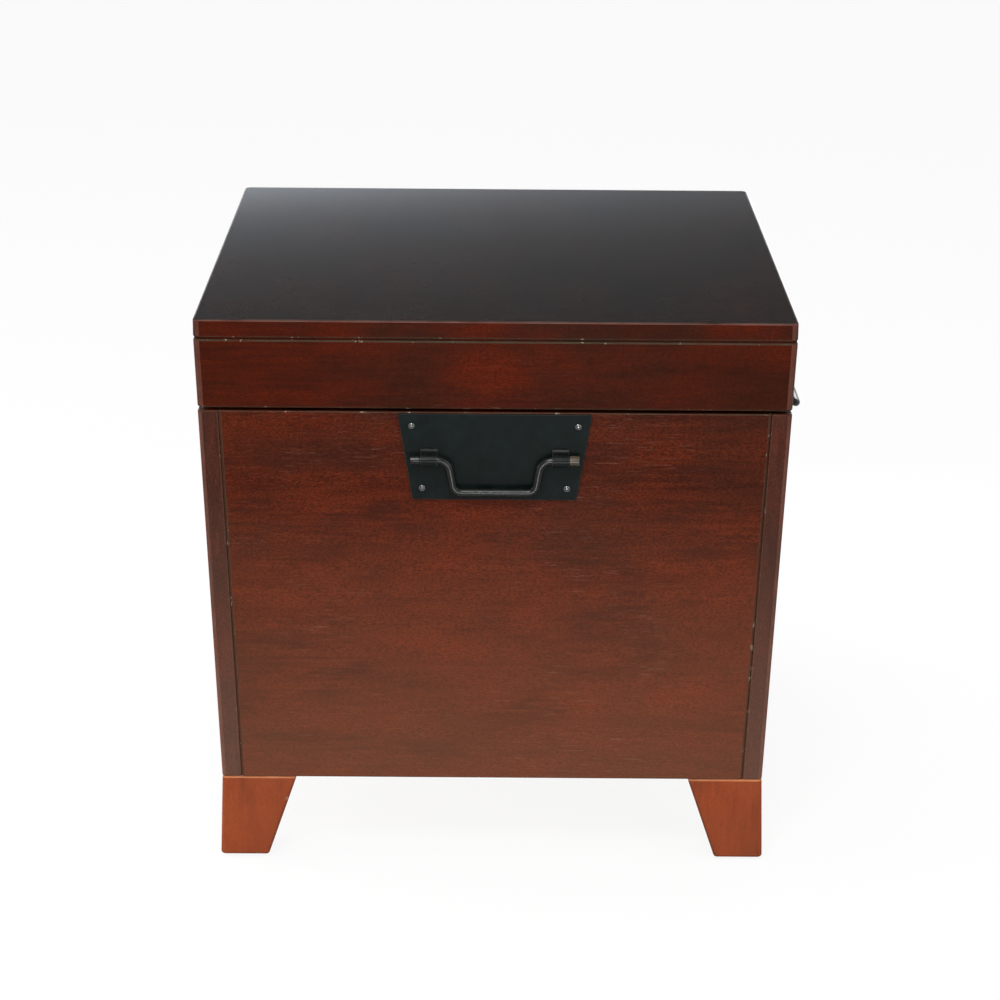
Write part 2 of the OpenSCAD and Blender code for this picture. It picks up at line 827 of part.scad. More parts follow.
// Pan-head screws of one leaf, standing out of the leaf's outer face
module leaf_screws(way) {
    face_y = seat_gap - hinge_offset + leaf_thickness + seat_gap;
    for (p = leaf_screw_places(way))
        translate([p[0], face_y, p[1]]) {
            rod_y(pan_radius, pan_height);
            mirror([0, 1, 0]) rod_y(screw_radius, leaf_thickness + 2 * seat_gap + screw_grip);
        }
}
module hinge_case_screws() {
    color(iron) placed() for (x = [-hinge_x, hinge_x]) on_hinge_axis(x) leaf_screws(-1);
}
module hinge_lid_screws() {
    color(iron) placed() for (x = [-hinge_x, hinge_x]) on_hinge_axis(x) leaf_screws(1);
}

// Lid stays, drawn for the right side
function stay_case_screw_runs() = [
    channel_back + channel_screw_inset, (channel_back + channel_front) / 2,
    channel_front - channel_screw_inset
];

module stay_channel() {
    h = channel_height / 2;
    w = channel_wall;
    lip = stud_neck_radius + swing_gap;
    d = channel_depth;
    difference() {
        translate([channel_face_x, hinge_y - channel_back, hinge_z])
            rotate([90, 0, 0]) linear_extrude(height = channel_front - channel_back) polygon([
                [-lean_run * h, -h], [lean_run * h, h], [-d, h], [-d, lip], [w - d, lip],
                [w - d, h - w], [-w, h - w], [-w, w - h], [w - d, w - h], [w - d, -lip],
                [-d, -lip], [-d, -h]
            ]);
        for (y = stay_case_screw_runs())
            translate([channel_face_x - w, hinge_y - y, hinge_z]) rotate([0, 90, 0]) {
                translate([0, 0, -past]) cylinder(r = pan_radius + hole_clearance, h = past);
                cylinder(
                    r1 = pan_radius + hole_clearance, r2 = screw_radius + hole_clearance, h = w
                );
                cylinder(r = screw_radius + hole_clearance, h = w + past);
            }
    }
}

// Flat arm with an eye at each end and a headed stud at its sliding end
module stay_arm() {
    neck_length = swing_gap + channel_wall + swing_gap;
    translate([arm_outer_x, 0, 0]) {
        difference() {
            union() {
                translate([0, pivot_y, pivot_z]) rotate([stay_rest_angle, 0, 0])
                    translate([-stay_arm_thickness, -stay_arm_length, -stay_arm_width / 2])
                        cube([stay_arm_thickness, stay_arm_length, stay_arm_width]);
                for (p = [[pivot_y, pivot_z], [stud_y, hinge_z]])
                    translate([-stay_arm_thickness / 2, p[0], p[1]])
                        rod_x(stay_eye_radius, stay_arm_thickness);
            }
            translate([-stay_arm_thickness / 2, pivot_y, pivot_z])
                rod_x(pivot_radius + turning_fit, stay_arm_thickness + 2 * past);
        }
        translate([-stay_arm_thickness / 2, stud_y, hinge_z]) rotate([0, 90, 0]) {
            cylinder(r = stud_neck_radius, h = stay_arm_thickness / 2 + neck_length);
            translate([0, 0, stay_arm_thickness / 2 + neck_length])
                cylinder(r = stud_head_radius, h = stud_head_thickness);
        }
    }
}

// Plate on the lid's side rail with the shouldered stud that the arm hangs on
module stay_bracket() {
    rail_face_x = half_width(pivot_z) - wall - seat_gap;
    shoulder_length = rail_face_x - arm_outer_x - swing_gap;
    stud_length = rail_face_x - arm_inner_x + swing_gap;
    translate([rail_face_x, pivot_y, pivot_z]) {
        difference() {
            rotate([0, lean_angle, 0])
                translate([-bracket_thickness, -bracket_size[0] / 2, -bracket_size[1] / 2])
                    cube([bracket_thickness, bracket_size[0], bracket_size[1]]);
            for (dy = [-0.5, 0.5] * stay_screw_spacing)
                translate([0, dy, 0]) rotate([0, 90 + lean_angle, 0])
                    translate([0, 0, -bracket_thickness - past])
                        cylinder(r = screw_radius + hole_clearance, h = bracket_thickness + 2 * past);
        }
        translate([-bracket_thickness / 2, 0, 0]) rotate([0, -90, 0]) {
            cylinder(r = shoulder_radius, h = shoulder_length - bracket_thickness / 2);
            cylinder(r = pivot_radius, h = stud_length - bracket_thickness / 2);
            translate([0, 0, stud_length - bracket_thickness / 2])
                cylinder(r = rivet_radius, h = rivet_thickness);
        }
    }
}

// Countersunk screws, flush with the inside of the channel so that the stud's head passes
module stay_case_screw_set() {
    for (y = stay_case_screw_runs())
        translate([channel_face_x - channel_wall, hinge_y - y, hinge_z]) rotate([0, 90, 0]) {
            cylinder(r1 = pan_radius, r2 = screw_radius, h = channel_wall);
            cylinder(r = screw_radius, h = channel_wall + seat_gap + screw_grip);
        }
}

module stay_lid_screw_set() {
    for (dy = [-0.5, 0.5] * stay_screw_spacing)
        translate([half_width(pivot_z) - wall - seat_gap, pivot_y + dy, pivot_z])
            rotate([0, 90 + lean_angle, 0])
                translate([0, 0, -bracket_thickness - seat_gap]) {
                    cylinder(r = screw_radius, h = bracket_thickness + screw_grip);
                    translate([0, 0, -pan_height]) cylinder(r = pan_radius, h = pan_height);
                }
}

module right_stay_channel() {
    color(zinc) placed() stay_channel();
}
module left_stay_channel() {
    color(zinc) placed() mirror([1, 0, 0]) stay_channel();
}
module right_stay_arm() {
    color(zinc) placed() stay_arm();
}
module left_stay_arm() {
    color(zinc) placed() mirror([1, 0, 0]) stay_arm();
}
module right_stay_bracket() {
    color(zinc) placed() stay_bracket();
}
module left_stay_bracket() {
    color(zinc) placed() mirror([1, 0, 0]) stay_bracket();
}
module stay_case_screws() {
    color(zinc) placed() mirror_x() stay_case_screw_set();
}
module stay_lid_screws() {
    color(zinc) placed() mirror_x() stay_lid_screw_set();
}

top_board();
lid_front_rail();
lid_back_rail();
lid_left_rail();
lid_right_rail();
lid_corner_blocks();
lid_bumpers();
front_panel();
back_panel();
left_side_panel();
right_side_panel();
bottom_panel();
bottom_cleats();
corner_blocks();
front_left_foot();
front_right_foot();
rear_left_foot();
rear_right_foot();
foot_glides();
foot_bolts();
front_handle_plate();
front_handle_knuckles();
front_handle_screws();
front_bail();
left_handle_plate();
left_handle_knuckles();
left_handle_screws();
left_bail();
right_handle_plate();
right_handle_knuckles();
right_handle_screws();
right_bail();
left_hinge_case_leaf();
left_hinge_lid_leaf();
left_hinge_pin();
right_hinge_case_leaf();
right_hinge_lid_leaf();
right_hinge_pin();
hinge_case_screws();
hinge_lid_screws();
left_stay_channel();
left_stay_arm();
left_stay_bracket();
right_stay_channel();
right_stay_arm();
right_stay_bracket();
stay_case_screws();
stay_lid_screws();
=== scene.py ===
"""Looks of the trunk end table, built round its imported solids.

Lengths are in metres. +Z is up and the front faces -Y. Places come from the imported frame,
and each class holds the few sizes of its own pieces.
"""

import json
import logging
import math
from collections.abc import Callable, Iterable
from dataclasses import dataclass, replace
from enum import Enum

import bmesh
import bpy
from mathutils import Matrix, Vector


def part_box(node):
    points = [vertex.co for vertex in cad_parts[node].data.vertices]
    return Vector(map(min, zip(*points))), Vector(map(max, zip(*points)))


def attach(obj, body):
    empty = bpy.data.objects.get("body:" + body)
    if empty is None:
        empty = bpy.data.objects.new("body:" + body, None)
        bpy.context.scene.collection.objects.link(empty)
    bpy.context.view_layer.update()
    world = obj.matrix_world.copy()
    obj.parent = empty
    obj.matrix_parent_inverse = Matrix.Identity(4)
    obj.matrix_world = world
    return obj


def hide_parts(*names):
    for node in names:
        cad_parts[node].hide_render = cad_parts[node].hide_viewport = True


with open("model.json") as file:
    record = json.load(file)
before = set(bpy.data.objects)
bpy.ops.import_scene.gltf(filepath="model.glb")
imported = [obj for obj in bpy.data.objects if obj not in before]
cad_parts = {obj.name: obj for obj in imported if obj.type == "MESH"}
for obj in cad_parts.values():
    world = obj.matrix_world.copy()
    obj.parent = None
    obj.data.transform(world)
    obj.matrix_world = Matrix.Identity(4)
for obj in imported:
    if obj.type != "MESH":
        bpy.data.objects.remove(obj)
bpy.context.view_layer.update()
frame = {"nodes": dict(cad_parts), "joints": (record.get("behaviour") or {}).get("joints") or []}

log = logging.getLogger("table")

Triple = tuple[float, float, float]
Colour = Triple
Span = tuple[float, float]
Edge = bmesh.types.BMEdge
Group = bpy.types.NodeTree
Material = bpy.types.Material
Node = bpy.types.Node
Socket = bpy.types.NodeSocket
Input = Socket | Triple | float
Piece = bpy.types.Object

WORN = "worn"
AGED = "aged"

# Vertices nearer than this, in metres, are merged
SAME = 0.000005
# Heights nearer than this, in metres, count as one
TOUCH = 0.0001
# An edge nearer than this, in metres, to a face counts as lying on it
NEAR = 0.001
# Angle in radians from which two faces meet at a sharp edge
SHARP = math.radians(50)
# Cosine from which a face or an edge counts as pointing one way
FACING = 0.9
# Cosine from which a face counts as turned to a side at all
TURNED = 0.3
# Widest strip that a rounding makes, as a share of the rounding's width
STRIP = 1.2


class Part(Enum):
    """Kinds of mesh element that can be picked."""

    VERTEX = "VERT"
    EDGE = "EDGE"
    FACE = "FACE"


class Side(Enum):
    """The four upright sides of the table, by their outward direction in plan."""

    FRONT = (0, -1)
    BACK = (0, 1)
    LEFT = (-1, 0)
    RIGHT = (1, 0)

    @property
    def across(self) -> bool:
        """True where the side's boards run left to right."""
        return self.value[0] == 0

    @property
    def word(self) -> str:
        """The side's name in lower case, as the nodes have it."""
        return self.name.lower()

    @property
    def outward(self) -> Vector:
        """Level direction out of the side."""
        return Vector((*self.value, 0))

    @property
    def turn(self) -> float:
        """Turn round +Z, in radians, that brings the front to this side."""
        return math.atan2(self.value[0], -self.value[1])


class Grain(Enum):
    """Direction that a board's grain runs in."""

    ALONG_X = "x"
    ALONG_Y = "y"
    ALONG_Z = "z"


def deselect_all() -> None:
    """Deselects every object."""
    bpy.ops.object.select_all(action="DESELECT")


def make_active(piece: Piece) -> None:
    """Makes one object the only selected one.

    Args:
        piece: the object to work on next.
    """
    deselect_all()
    piece.select_set(True)
    bpy.context.view_layer.objects.active = piece


class Bench:
    """Edit-mode tools for one piece.
    """

    def __init__(self, piece: Piece) -> None:
        """Opens a piece.

        Args:
            piece: the mesh object to shape.
        """
        self.piece = piece
        make_active(piece)
        bpy.ops.object.mode_set(mode="EDIT")
        mesh = self._mesh()
        for mark in (WORN, AGED):
            if mesh.faces.layers.float.get(mark) is None:
                mesh.faces.layers.float.new(mark)
        self._show()

    @classmethod
    def block(cls, name: str, low: "Plan", high: "Plan", heights: Span) -> "Bench":
        """Starts a block whose bottom and top are two different rectangles.

        Args:
            name: the new object's name.
            low: rectangle of the bottom.
            high: rectangle of the top.
            heights: heights of the bottom and the top.

        Returns:
            A bench with the block on it.
        """
        deselect_all()
        bpy.ops.mesh.primitive_cube_add(size=1, location=(0, 0, 0))
        piece = bpy.context.object
        piece.name = name
        bench = cls(piece)
        for plan, level, start in ((low, heights[0], -0.5), (high, heights[1], 0.5)):
            bench.pick(Part.VERTEX, lambda v: abs(v.co.z - start) < TOUCH)
            bench.scale((plan.width, plan.depth, 1), Vector((0, 0, start)))
            bench.shift((plan.middle.x, plan.middle.y, level - start))
        return bench

    @classmethod
    def ring(cls, name: str, radius: float, corners: int) -> "Bench":
        """Starts an open ring in the YZ plane, to be drawn out along X.

        Args:
            name: the new object's name.
            radius: the ring's radius.
            corners: how many vertices it has.

        Returns:
            A bench with the ring selected on it.
        """
        deselect_all()
        bpy.ops.mesh.primitive_circle_add(
            vertices=corners, radius=radius, fill_type="NOTHING", rotation=(0, math.pi / 2, 0)
        )
        bpy.ops.object.transform_apply(location=True, rotation=True, scale=True)
        piece = bpy.context.object
        piece.name = name
        bench = cls(piece)
        bpy.ops.mesh.select_mode(type="EDGE")
        bpy.ops.mesh.select_all(action="SELECT")
        return bench

    def _mesh(self) -> bmesh.types.BMesh:
        """Gives the open mesh."""
        return bmesh.from_edit_mesh(self.piece.data)

    def _show(self) -> None:
        """Passes changes of the open mesh on to Blender."""
        bmesh.update_edit_mesh(self.piece.data)

    def pick(self, part: Part, test: Callable[..., bool]) -> int:
        """Selects the elements that pass a test, and nothing else.

        Args:
            part: the kind of element.
            test: says whether an element is wanted.

        Returns:
            How many were selected.
        """
        bpy.ops.mesh.select_mode(type=part.value)
        bpy.ops.mesh.select_all(action="DESELECT")
        mesh = self._mesh()
        mesh.normal_update()
        groups = {Part.VERTEX: mesh.verts, Part.EDGE: mesh.edges, Part.FACE: mesh.faces}
        wanted = [item for item in groups[part] if test(item)]
        for item in wanted:
            item.select_set(True)
        mesh.select_flush_mode()
        self._show()
        return len(wanted)

    def centre(self) -> Vector:
        """Gives the middle of the selected vertices.

        Returns:
            The middle.
        """
        mesh = self._mesh()
        places = [v.co.copy() for v in mesh.verts if v.select]
        return sum(places, Vector()) / len(places)

    def scale(self, factors: Triple, about: Vector | None = None) -> None:
        """Scales the selection along X, Y and Z about a point, or else about its middle."""
        point = self.centre() if about is None else about
        bpy.ops.transform.resize(value=factors, center_override=tuple(point))

    def shift(self, by: Triple) -> None:
        """Moves the selection along X, Y and Z."""
        bpy.ops.transform.translate(value=by)

    def draw(self, by: Triple, factor: float = 1.0) -> None:
        """Extrudes the selection.

        Args:
            by: how far along X, Y and Z.
            factor: how much larger the new end is.
        """
        bpy.ops.mesh.extrude_region_move(TRANSFORM_OT_translate={"value": by})
        if factor != 1.0:
            self.scale((factor, factor, factor))

    def lathe(self, radius: float, profile: Iterable[Span]) -> None:
        """Draws a ring out along X through a profile, and closes its end.

        Args:
            radius: the ring's radius.
            profile: each step's length and the radius that it ends with.
        """
        for step, end in profile:
            self.draw((step, 0, 0), end / radius)
            radius = end
        bpy.ops.mesh.edge_face_add()

    def bend(self, angle: float, about: Vector, axis: Vector, steps: int) -> None:
        """Spins the selection round an axis, left-handed, and keeps its end selected."""
        bpy.ops.mesh.spin(steps=steps, angle=angle, center=tuple(about), axis=tuple(axis))

    def mark(self, label: str, amount: float, widest: float = math.inf) -> None:
        """Says how much the finish of the selected faces is worn or aged.

        Args:
            label: WORN for a light rub, AGED for grime and chips.
            amount: 0 for none to 1 for the most.
            widest: faces that are broader than this keep their mark.
        """
        mesh = self._mesh()
        layer = mesh.faces.layers.float[label]
        for face in mesh.faces:
            if face.select and 2 * face.calc_area() / face.calc_perimeter() < widest:
                face[layer] = amount
        self._show()

    def ease(
        self,
        width: float,
        test: Callable[[Edge], bool],
        segments: int = 3,
        worn: float = 0.0,
        aged: float = 0.0,
    ) -> None:
        """Rounds the edges that pass a test, and marks what the rounding makes.

        Args:
            width: how far the rounding reaches from the edge.
            test: says whether an edge is wanted.
            segments: how many strips it has.
            worn: how much the strips are rubbed.
            aged: how much grime and how many chips they have.
        """
        if self.pick(Part.EDGE, test):
            bpy.ops.mesh.bevel(offset=width, segments=segments, profile=0.5, clamp_overlap=True)
            bpy.ops.mesh.select_mode(type="FACE")
            for label, amount in ((WORN, worn), (AGED, aged)):
                self.mark(label, amount, STRIP * width)

    def cut(self, point: Vector, normal: Vector) -> None:
        """Saws the piece along a plane, keeps what lies ahead of it and closes the cut.

        Args:
            point: a point of the plane.
            normal: the plane's direction.
        """
        bpy.ops.mesh.select_all(action="SELECT")
        bpy.ops.mesh.bisect(
            plane_co=tuple(point), plane_no=tuple(normal), use_fill=True, clear_inner=True
        )

    def score(self, point: Vector, normal: Vector) -> None:
        """Marks a line round the piece along a plane, without a cut."""
        bpy.ops.mesh.select_all(action="SELECT")
        bpy.ops.mesh.bisect(plane_co=tuple(point), plane_no=tuple(normal))

    def tidy(self) -> None:
        """Merges doubles and turns every face outwards."""
        bpy.ops.mesh.select_all(action="SELECT")
        bpy.ops.mesh.remove_doubles(threshold=SAME)
        bpy.ops.mesh.normals_make_consistent(inside=False)

    def finish(self, smooth_under: float = 35.0) -> Piece:
        """Closes the piece.

        Args:
            smooth_under: faces that meet at less than this many degrees shade as one.

        Returns:
            The finished object.
        """
        self.tidy()
        bpy.ops.object.mode_set(mode="OBJECT")
        bpy.ops.object.shade_smooth_by_angle(angle=math.radians(smooth_under))
        flat = self.piece.modifiers.new("flat_faces", "WEIGHTED_NORMAL")
        flat.keep_sharp = True
        flat.weight = 100
        bpy.ops.object.modifier_apply(modifier=flat.name)
        return self.piece


@dataclass(frozen=True)
class Plan:
    """A rectangle seen from above."""

    x: Span
    y: Span

    @property
    def width(self) -> float:
        """Size along X."""
        return self.x[1] - self.x[0]

    @property
    def depth(self) -> float:
        """Size along Y."""
        return self.y[1] - self.y[0]

    @property
    def middle(self) -> Vector:
        """Middle of the rectangle."""
        return Vector(((self.x[0] + self.x[1]) / 2, (self.y[0] + self.y[1]) / 2, 0))

    def borders(self, point: Vector) -> bool:
        """Says whether a point lies on the rectangle's outline, seen from above."""
        off = point - self.middle
        return abs(off.x) > self.width / 2 - NEAR or abs(off.y) > self.depth / 2 - NEAR


def is_sharp(edge: Edge) -> bool:
    """Says whether two faces meet at a marked angle."""
    return len(edge.link_faces) == 2 and edge.calc_face_angle(0.0) > SHARP


def middle_of(edge: Edge) -> Vector:
    """Gives the middle of an edge."""
    return (edge.verts[0].co + edge.verts[1].co) / 2


def is_upright(edge: Edge) -> bool:
    """Says whether an edge runs mostly up and down."""
    run = edge.verts[1].co - edge.verts[0].co
    return abs(run.z) > FACING * run.length


def sharp_at(z: float) -> Callable[[Edge], bool]:
    """Gives a test for sharp edges whose middle lies at a height."""
    return lambda edge: is_sharp(edge) and abs(middle_of(edge).z - z) < TOUCH


def copied(piece: Piece, name: str, place: Matrix) -> Piece:
    """Copies a piece with its own mesh and applies a new place to it.

    Args:
        piece: the piece to copy.
        name: the copy's name.
        place: moves, turns or mirrors the copy.

    Returns:
        The copy, whose object stands at the origin.
    """
    make_active(piece)
    bpy.ops.object.duplicate()
    twin = bpy.context.object
    twin.name = name
    twin.matrix_world = place
    bpy.ops.object.transform_apply(location=True, rotation=True, scale=True)
    if place.determinant() < 0:
        return Bench(twin).finish()
    return twin


def joined(name: str, pieces: list[Piece]) -> Piece:
    """Joins pieces into one object.

    Args:
        name: the name of the result.
        pieces: the objects to join.

    Returns:
        The joined object.
    """
    make_active(pieces[0])
    for piece in pieces:
        piece.select_set(True)
    bpy.ops.object.join()
    pieces[0].name = name
    return pieces[0]


def fit(piece: Piece, body: str, node: str, finish: Material) -> None:
    """Dresses a piece, sets it on its body and hides the solid that it stands for.

    Args:
        piece: the finished piece.
        body: the body that carries it.
        node: the solid's node.
        finish: the piece's material.
    """
    piece.data.materials.clear()
    piece.data.materials.append(finish)
    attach(piece, body)
    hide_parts(node)
    log.info("%s stands for %s on %s", piece.name, node, body)


def dress_faces(piece: Piece, finish: Material, test: Callable[[Vector], bool]) -> None:
    """Gives some faces of a dressed piece a second finish.

    Args:
        piece: the dressed piece.
        finish: the second finish.
        test: says from a face's normal whether it takes that finish.
    """
    piece.data.materials.append(finish)
    for face in piece.data.polygons:
        if test(face.normal):
            face.material_index = len(piece.data.materials) - 1


# Materials


class Tree:
    """A material's or a group's node tree, with short ways to fill it."""

    def __init__(self, nodes: Group) -> None:
        """Keeps the tree to fill."""
        self.tree = nodes

    def feed(self, node: Node, inputs: dict[str | int, Input]) -> None:
        """Gives inputs of a node their values.

        Args:
            node: the node.
            inputs: by name or place, outputs to join or colours, vectors and numbers to set.
        """
        for key, value in inputs.items():
            socket = node.inputs[key]
            if isinstance(value, Socket):
                self.tree.links.new(value, socket)
            elif isinstance(value, tuple) and len(value) < len(socket.default_value):
                socket.default_value = (*value, 1)
            else:
                socket.default_value = value

    def add(
        self, kind: str, inputs: dict[str | int, Input] | None = None, **settings: object
    ) -> Node:
        """Adds a node.

        Args:
            kind: the node's type name.
            inputs: values of its inputs, as for feed().
            settings: values of its properties.

        Returns:
            The new node.
        """
        node = self.tree.nodes.new(kind)
        for key, value in settings.items():
            setattr(node, key, value)
        self.feed(node, inputs or {})
        return node

    def mix(self, share: Input, first: Input, second: Input, kind: str = "MIX") -> Socket:
        """Mixes two colours, by the share of the second one."""
        inputs = {0: share, 6: first, 7: second}
        return self.add("ShaderNodeMix", inputs, data_type="RGBA", blend_type=kind).outputs[2]

    def work_out(self, kind: str, first: Input, second: Input) -> Socket:
        """Works out one value from two, kept between 0 and 1."""
        inputs = {0: first, 1: second}
        return self.add("ShaderNodeMath", inputs, operation=kind, use_clamp=True).outputs[0]

    def times(self, value: Socket, share: Input) -> Socket:
        """Multiplies a value by a share."""
        return self.work_out("MULTIPLY", value, share)

    def weigh(self, first: Socket, share: float, second: Socket, other_share: float) -> Socket:
        """Adds two values, each times its share."""
        return self.work_out("ADD", self.times(first, share), self.times(second, other_share))

    def layers(
        self, base: Socket, marks: Node, coats: Iterable[tuple[str, float, Colour]]
    ) -> Socket:
        """Lays colours over a base, each where one output of a group marks it.

        Args:
            base: the colour underneath.
            marks: the group's node.
            coats: for each coat the output's name, the coat's share and its colour.

        Returns:
            The colour with every coat.
        """
        for output, share, colour in coats:
            base = self.mix(self.times(marks.outputs[output], share), base, colour)
        return base

    def remap(self, value: Socket, source: Span, target: Span = (0.0, 1.0)) -> Socket:
        """Spreads a value from one range over another, and keeps it in there."""
        inputs = dict(enumerate((value, *source, *target)))
        return self.add("ShaderNodeMapRange", inputs, clamp=True).outputs["Result"]

    def noise(
        self, place: Socket, fineness: float, detail: float = 3.0, rough: float = 0.5
    ) -> Socket:
        """Adds a noise texture from 0 to 1, with finer layers and their strength."""
        inputs = {"Vector": place, "Scale": fineness, "Detail": detail, "Roughness": rough}
        return self.add("ShaderNodeTexNoise", inputs).outputs["Fac"]

    def stretched(self, place: Socket, factors: Triple, turn: Triple = (0, 0, 0)) -> Socket:
        """Scales coordinates along X, Y and Z, and turns them by angles in radians."""
        inputs = {"Vector": place, "Scale": factors, "Rotation": turn}
        return self.add("ShaderNodeMapping", inputs).outputs["Vector"]

    def grained(
        self,
        place: Socket,
        factors: Triple,
        detail: float = 3.0,
        rough: float = 0.5,
        turn: Triple = (0, 0, 0),
    ) -> Socket:
        """Adds a noise texture whose fineness differs along X, Y and Z."""
        return self.noise(self.stretched(place, factors, turn), 1.0, detail, rough)

    def end_in_blend(self, share: Socket, first: Node, second: Node, output: str) -> None:
        """Ends the tree in a blend of two shaders.

        Args:
            share: how much of the second shader shows.
            first: the first shader.
            second: the second shader.
            output: type name of the output node.
        """
        inputs = {0: share, 1: first.outputs[0], 2: second.outputs[0]}
        blend = self.add("ShaderNodeMixShader", inputs)
        self.add(output, {"Surface": blend.outputs[0]})


def new_group(
    name: str, takes: dict[str, str], gives: dict[str, str]
) -> tuple[Group, Tree, Node, Node]:
    """Starts a shader node group.

    Args:
        name: the group's name.
        takes: socket type of each input by name.
        gives: socket type of each output by name.

    Returns:
        The group, its tree helper, its input node and its output node.
    """
    group = bpy.data.node_groups.new(name, "ShaderNodeTree")
    for way, labels in (("INPUT", takes), ("OUTPUT", gives)):
        for label, kind in labels.items():
            group.interface.new_socket(name=label, in_out=way, socket_type=kind)
    tree = Tree(group)
    return group, tree, tree.add("NodeGroupInput"), tree.add("NodeGroupOutput")


VALUE = "NodeSocketFloat"
VECTOR = "NodeSocketVector"


class Effects:
    """Shader node groups that several finishes share, each built once."""

    def __init__(self) -> None:
        """Builds the groups."""
        self.figure = self._wood_figure()
        self.wear = self._edge_wear()
        self.skin = self._iron_skin()

    @staticmethod
    def _wood_figure() -> Group:
        """Builds the wood's figure, for coordinates whose X runs along the grain.

        Returns:
            A group that gives streaks, clear and dull blotches, grit, pale fibres and a height.
        """
        outputs = ("Streak", "Glow", "Dull", "Grit", "Hair", "Height")
        group, tree, taken, given = new_group(
            "wood_figure", {"Place": VECTOR}, dict.fromkeys(outputs, VALUE)
        )
        place = taken.outputs["Place"]
        band = tree.grained(place, (5, 34, 34), 4.0, 0.55)
        line = tree.grained(place, (18, 260, 260), 3.0, 0.6)
        grit = tree.grained(place, (380, 900, 900), 3.0, 0.65)
        glow = tree.grained(place, (10, 22, 22), 5.0, 0.58)
        dull = tree.grained(place, (8, 12, 12), 5.0, 0.58, turn=(0.4, 0.7, 0.2))
        fibre = tree.remap(tree.grained(place, (55, 620, 620), 3.0, 0.6), (0.58, 0.72))
        where = tree.remap(tree.grained(place, (7, 9, 9)), (0.4, 0.62))
        streak = tree.weigh(band, 0.5, line, 0.5)
        hair = tree.times(fibre, where)
        waves = tree.weigh(streak, 0.35, grit, 0.5)
        tree.feed(given, {
            "Streak": tree.remap(streak, (0.40, 0.60)),
            "Glow": tree.remap(glow, (0.42, 0.64)),
            "Dull": tree.remap(dull, (0.40, 0.64)),
            "Grit": tree.remap(grit, (0.42, 0.60)),
            "Hair": hair,
            "Height": tree.work_out("SUBTRACT", waves, tree.times(hair, 0.2)),
        })
        return group

    @staticmethod
    def _edge_wear() -> Group:
        """Builds patchy wear of the marked edges.

        Returns:
            A group that gives a light rub, grime and small bare chips.
        """
        group, tree, taken, given = new_group(
            "edge_wear",
            {"Place": VECTOR, "Worn": VALUE, "Aged": VALUE},
            dict.fromkeys(("Rub", "Grime", "Chip"), VALUE),
        )
        place = taken.outputs["Place"]
        patch = tree.remap(tree.noise(place, 30.0, 4.0), (0.3, 0.58), (0.45, 1.0))
        chip = tree.remap(tree.noise(place, 105.0, 3.0, 0.7), (0.63, 0.68))
        tree.feed(given, {
            "Rub": tree.times(patch, taken.outputs["Worn"]),
            "Grime": tree.times(patch, taken.outputs["Aged"]),
            "Chip": tree.times(chip, taken.outputs["Aged"]),
        })
        return group

    @staticmethod
    def _iron_skin() -> Group:
        """Builds the uneven skin of rolled or forged iron.

        Returns:
            A group that gives cloudy patches and a height.
        """
        group, tree, taken, given = new_group(
            "iron_skin", {"Place": VECTOR}, {"Cloud": VALUE, "Height": VALUE}
        )
        place = taken.outputs["Place"]
        cloud = tree.noise(place, 62.0, 5.0, 0.66)
        dents = tree.noise(place, 150.0, 2.0)
        grit = tree.noise(place, 900.0, 2.0)
        tree.feed(given, {
            "Cloud": tree.remap(cloud, (0.3, 0.7)),
            "Height": tree.weigh(dents, 0.7, grit, 0.3),
        })
        return group


@dataclass(frozen=True)
class Gloss:
    """Values of a finish that are the same all over the surface."""

    ior: float = 1.45
    metallic: float = 0.0
    bump: float = 0.2
    bump_distance: float = 0.0004


def start_material(name: str, gloss: Gloss) -> tuple[Material, Tree, Node, Socket]:
    """Starts a material round a Principled shader.

    Args:
        name: the material's name.
        gloss: its constant values.

    Returns:
        The material, its tree, the shader and the object coordinates.
    """
    material = bpy.data.materials.new(name)
    material.use_nodes = True
    tree = Tree(material.node_tree)
    shader = material.node_tree.nodes["Principled BSDF"]
    tree.feed(shader, {"IOR": gloss.ior, "Metallic": gloss.metallic})
    place = tree.add("ShaderNodeTexCoord").outputs["Object"]
    return material, tree, shader, place


def dress_shader(
    tree: Tree, shader: Node, colour: Socket, rough: Socket, height: Socket, gloss: Gloss
) -> None:
    """Feeds a shader its colour, roughness and bump.

    Args:
        tree: the material's tree.
        shader: its shader.
        colour: the base colour.
        rough: the roughness.
        height: the height from 0 to 1.
        gloss: holds the bump's strength and distance.
    """
    relief = {"Strength": gloss.bump, "Distance": gloss.bump_distance, "Height": height}
    normal = tree.add("ShaderNodeBump", relief).outputs["Normal"]
    tree.feed(shader, {"Base Color": colour, "Roughness": rough, "Normal": normal})


def add_wear(tree: Tree, effects: Effects, place: Socket) -> Node:
    """Places the edge wear in a material, driven by the faces' marks.

    Args:
        tree: the material's tree.
        effects: the shared groups.
        place: coordinates to read it at.

    Returns:
        The wear's node.
    """
    inputs = {"Place": place}
    for mark, label in ((WORN, "Worn"), (AGED, "Aged")):
        inputs[label] = tree.add("ShaderNodeAttribute", attribute_name=mark).outputs["Fac"]
    return tree.add("ShaderNodeGroup", inputs, node_tree=effects.wear)


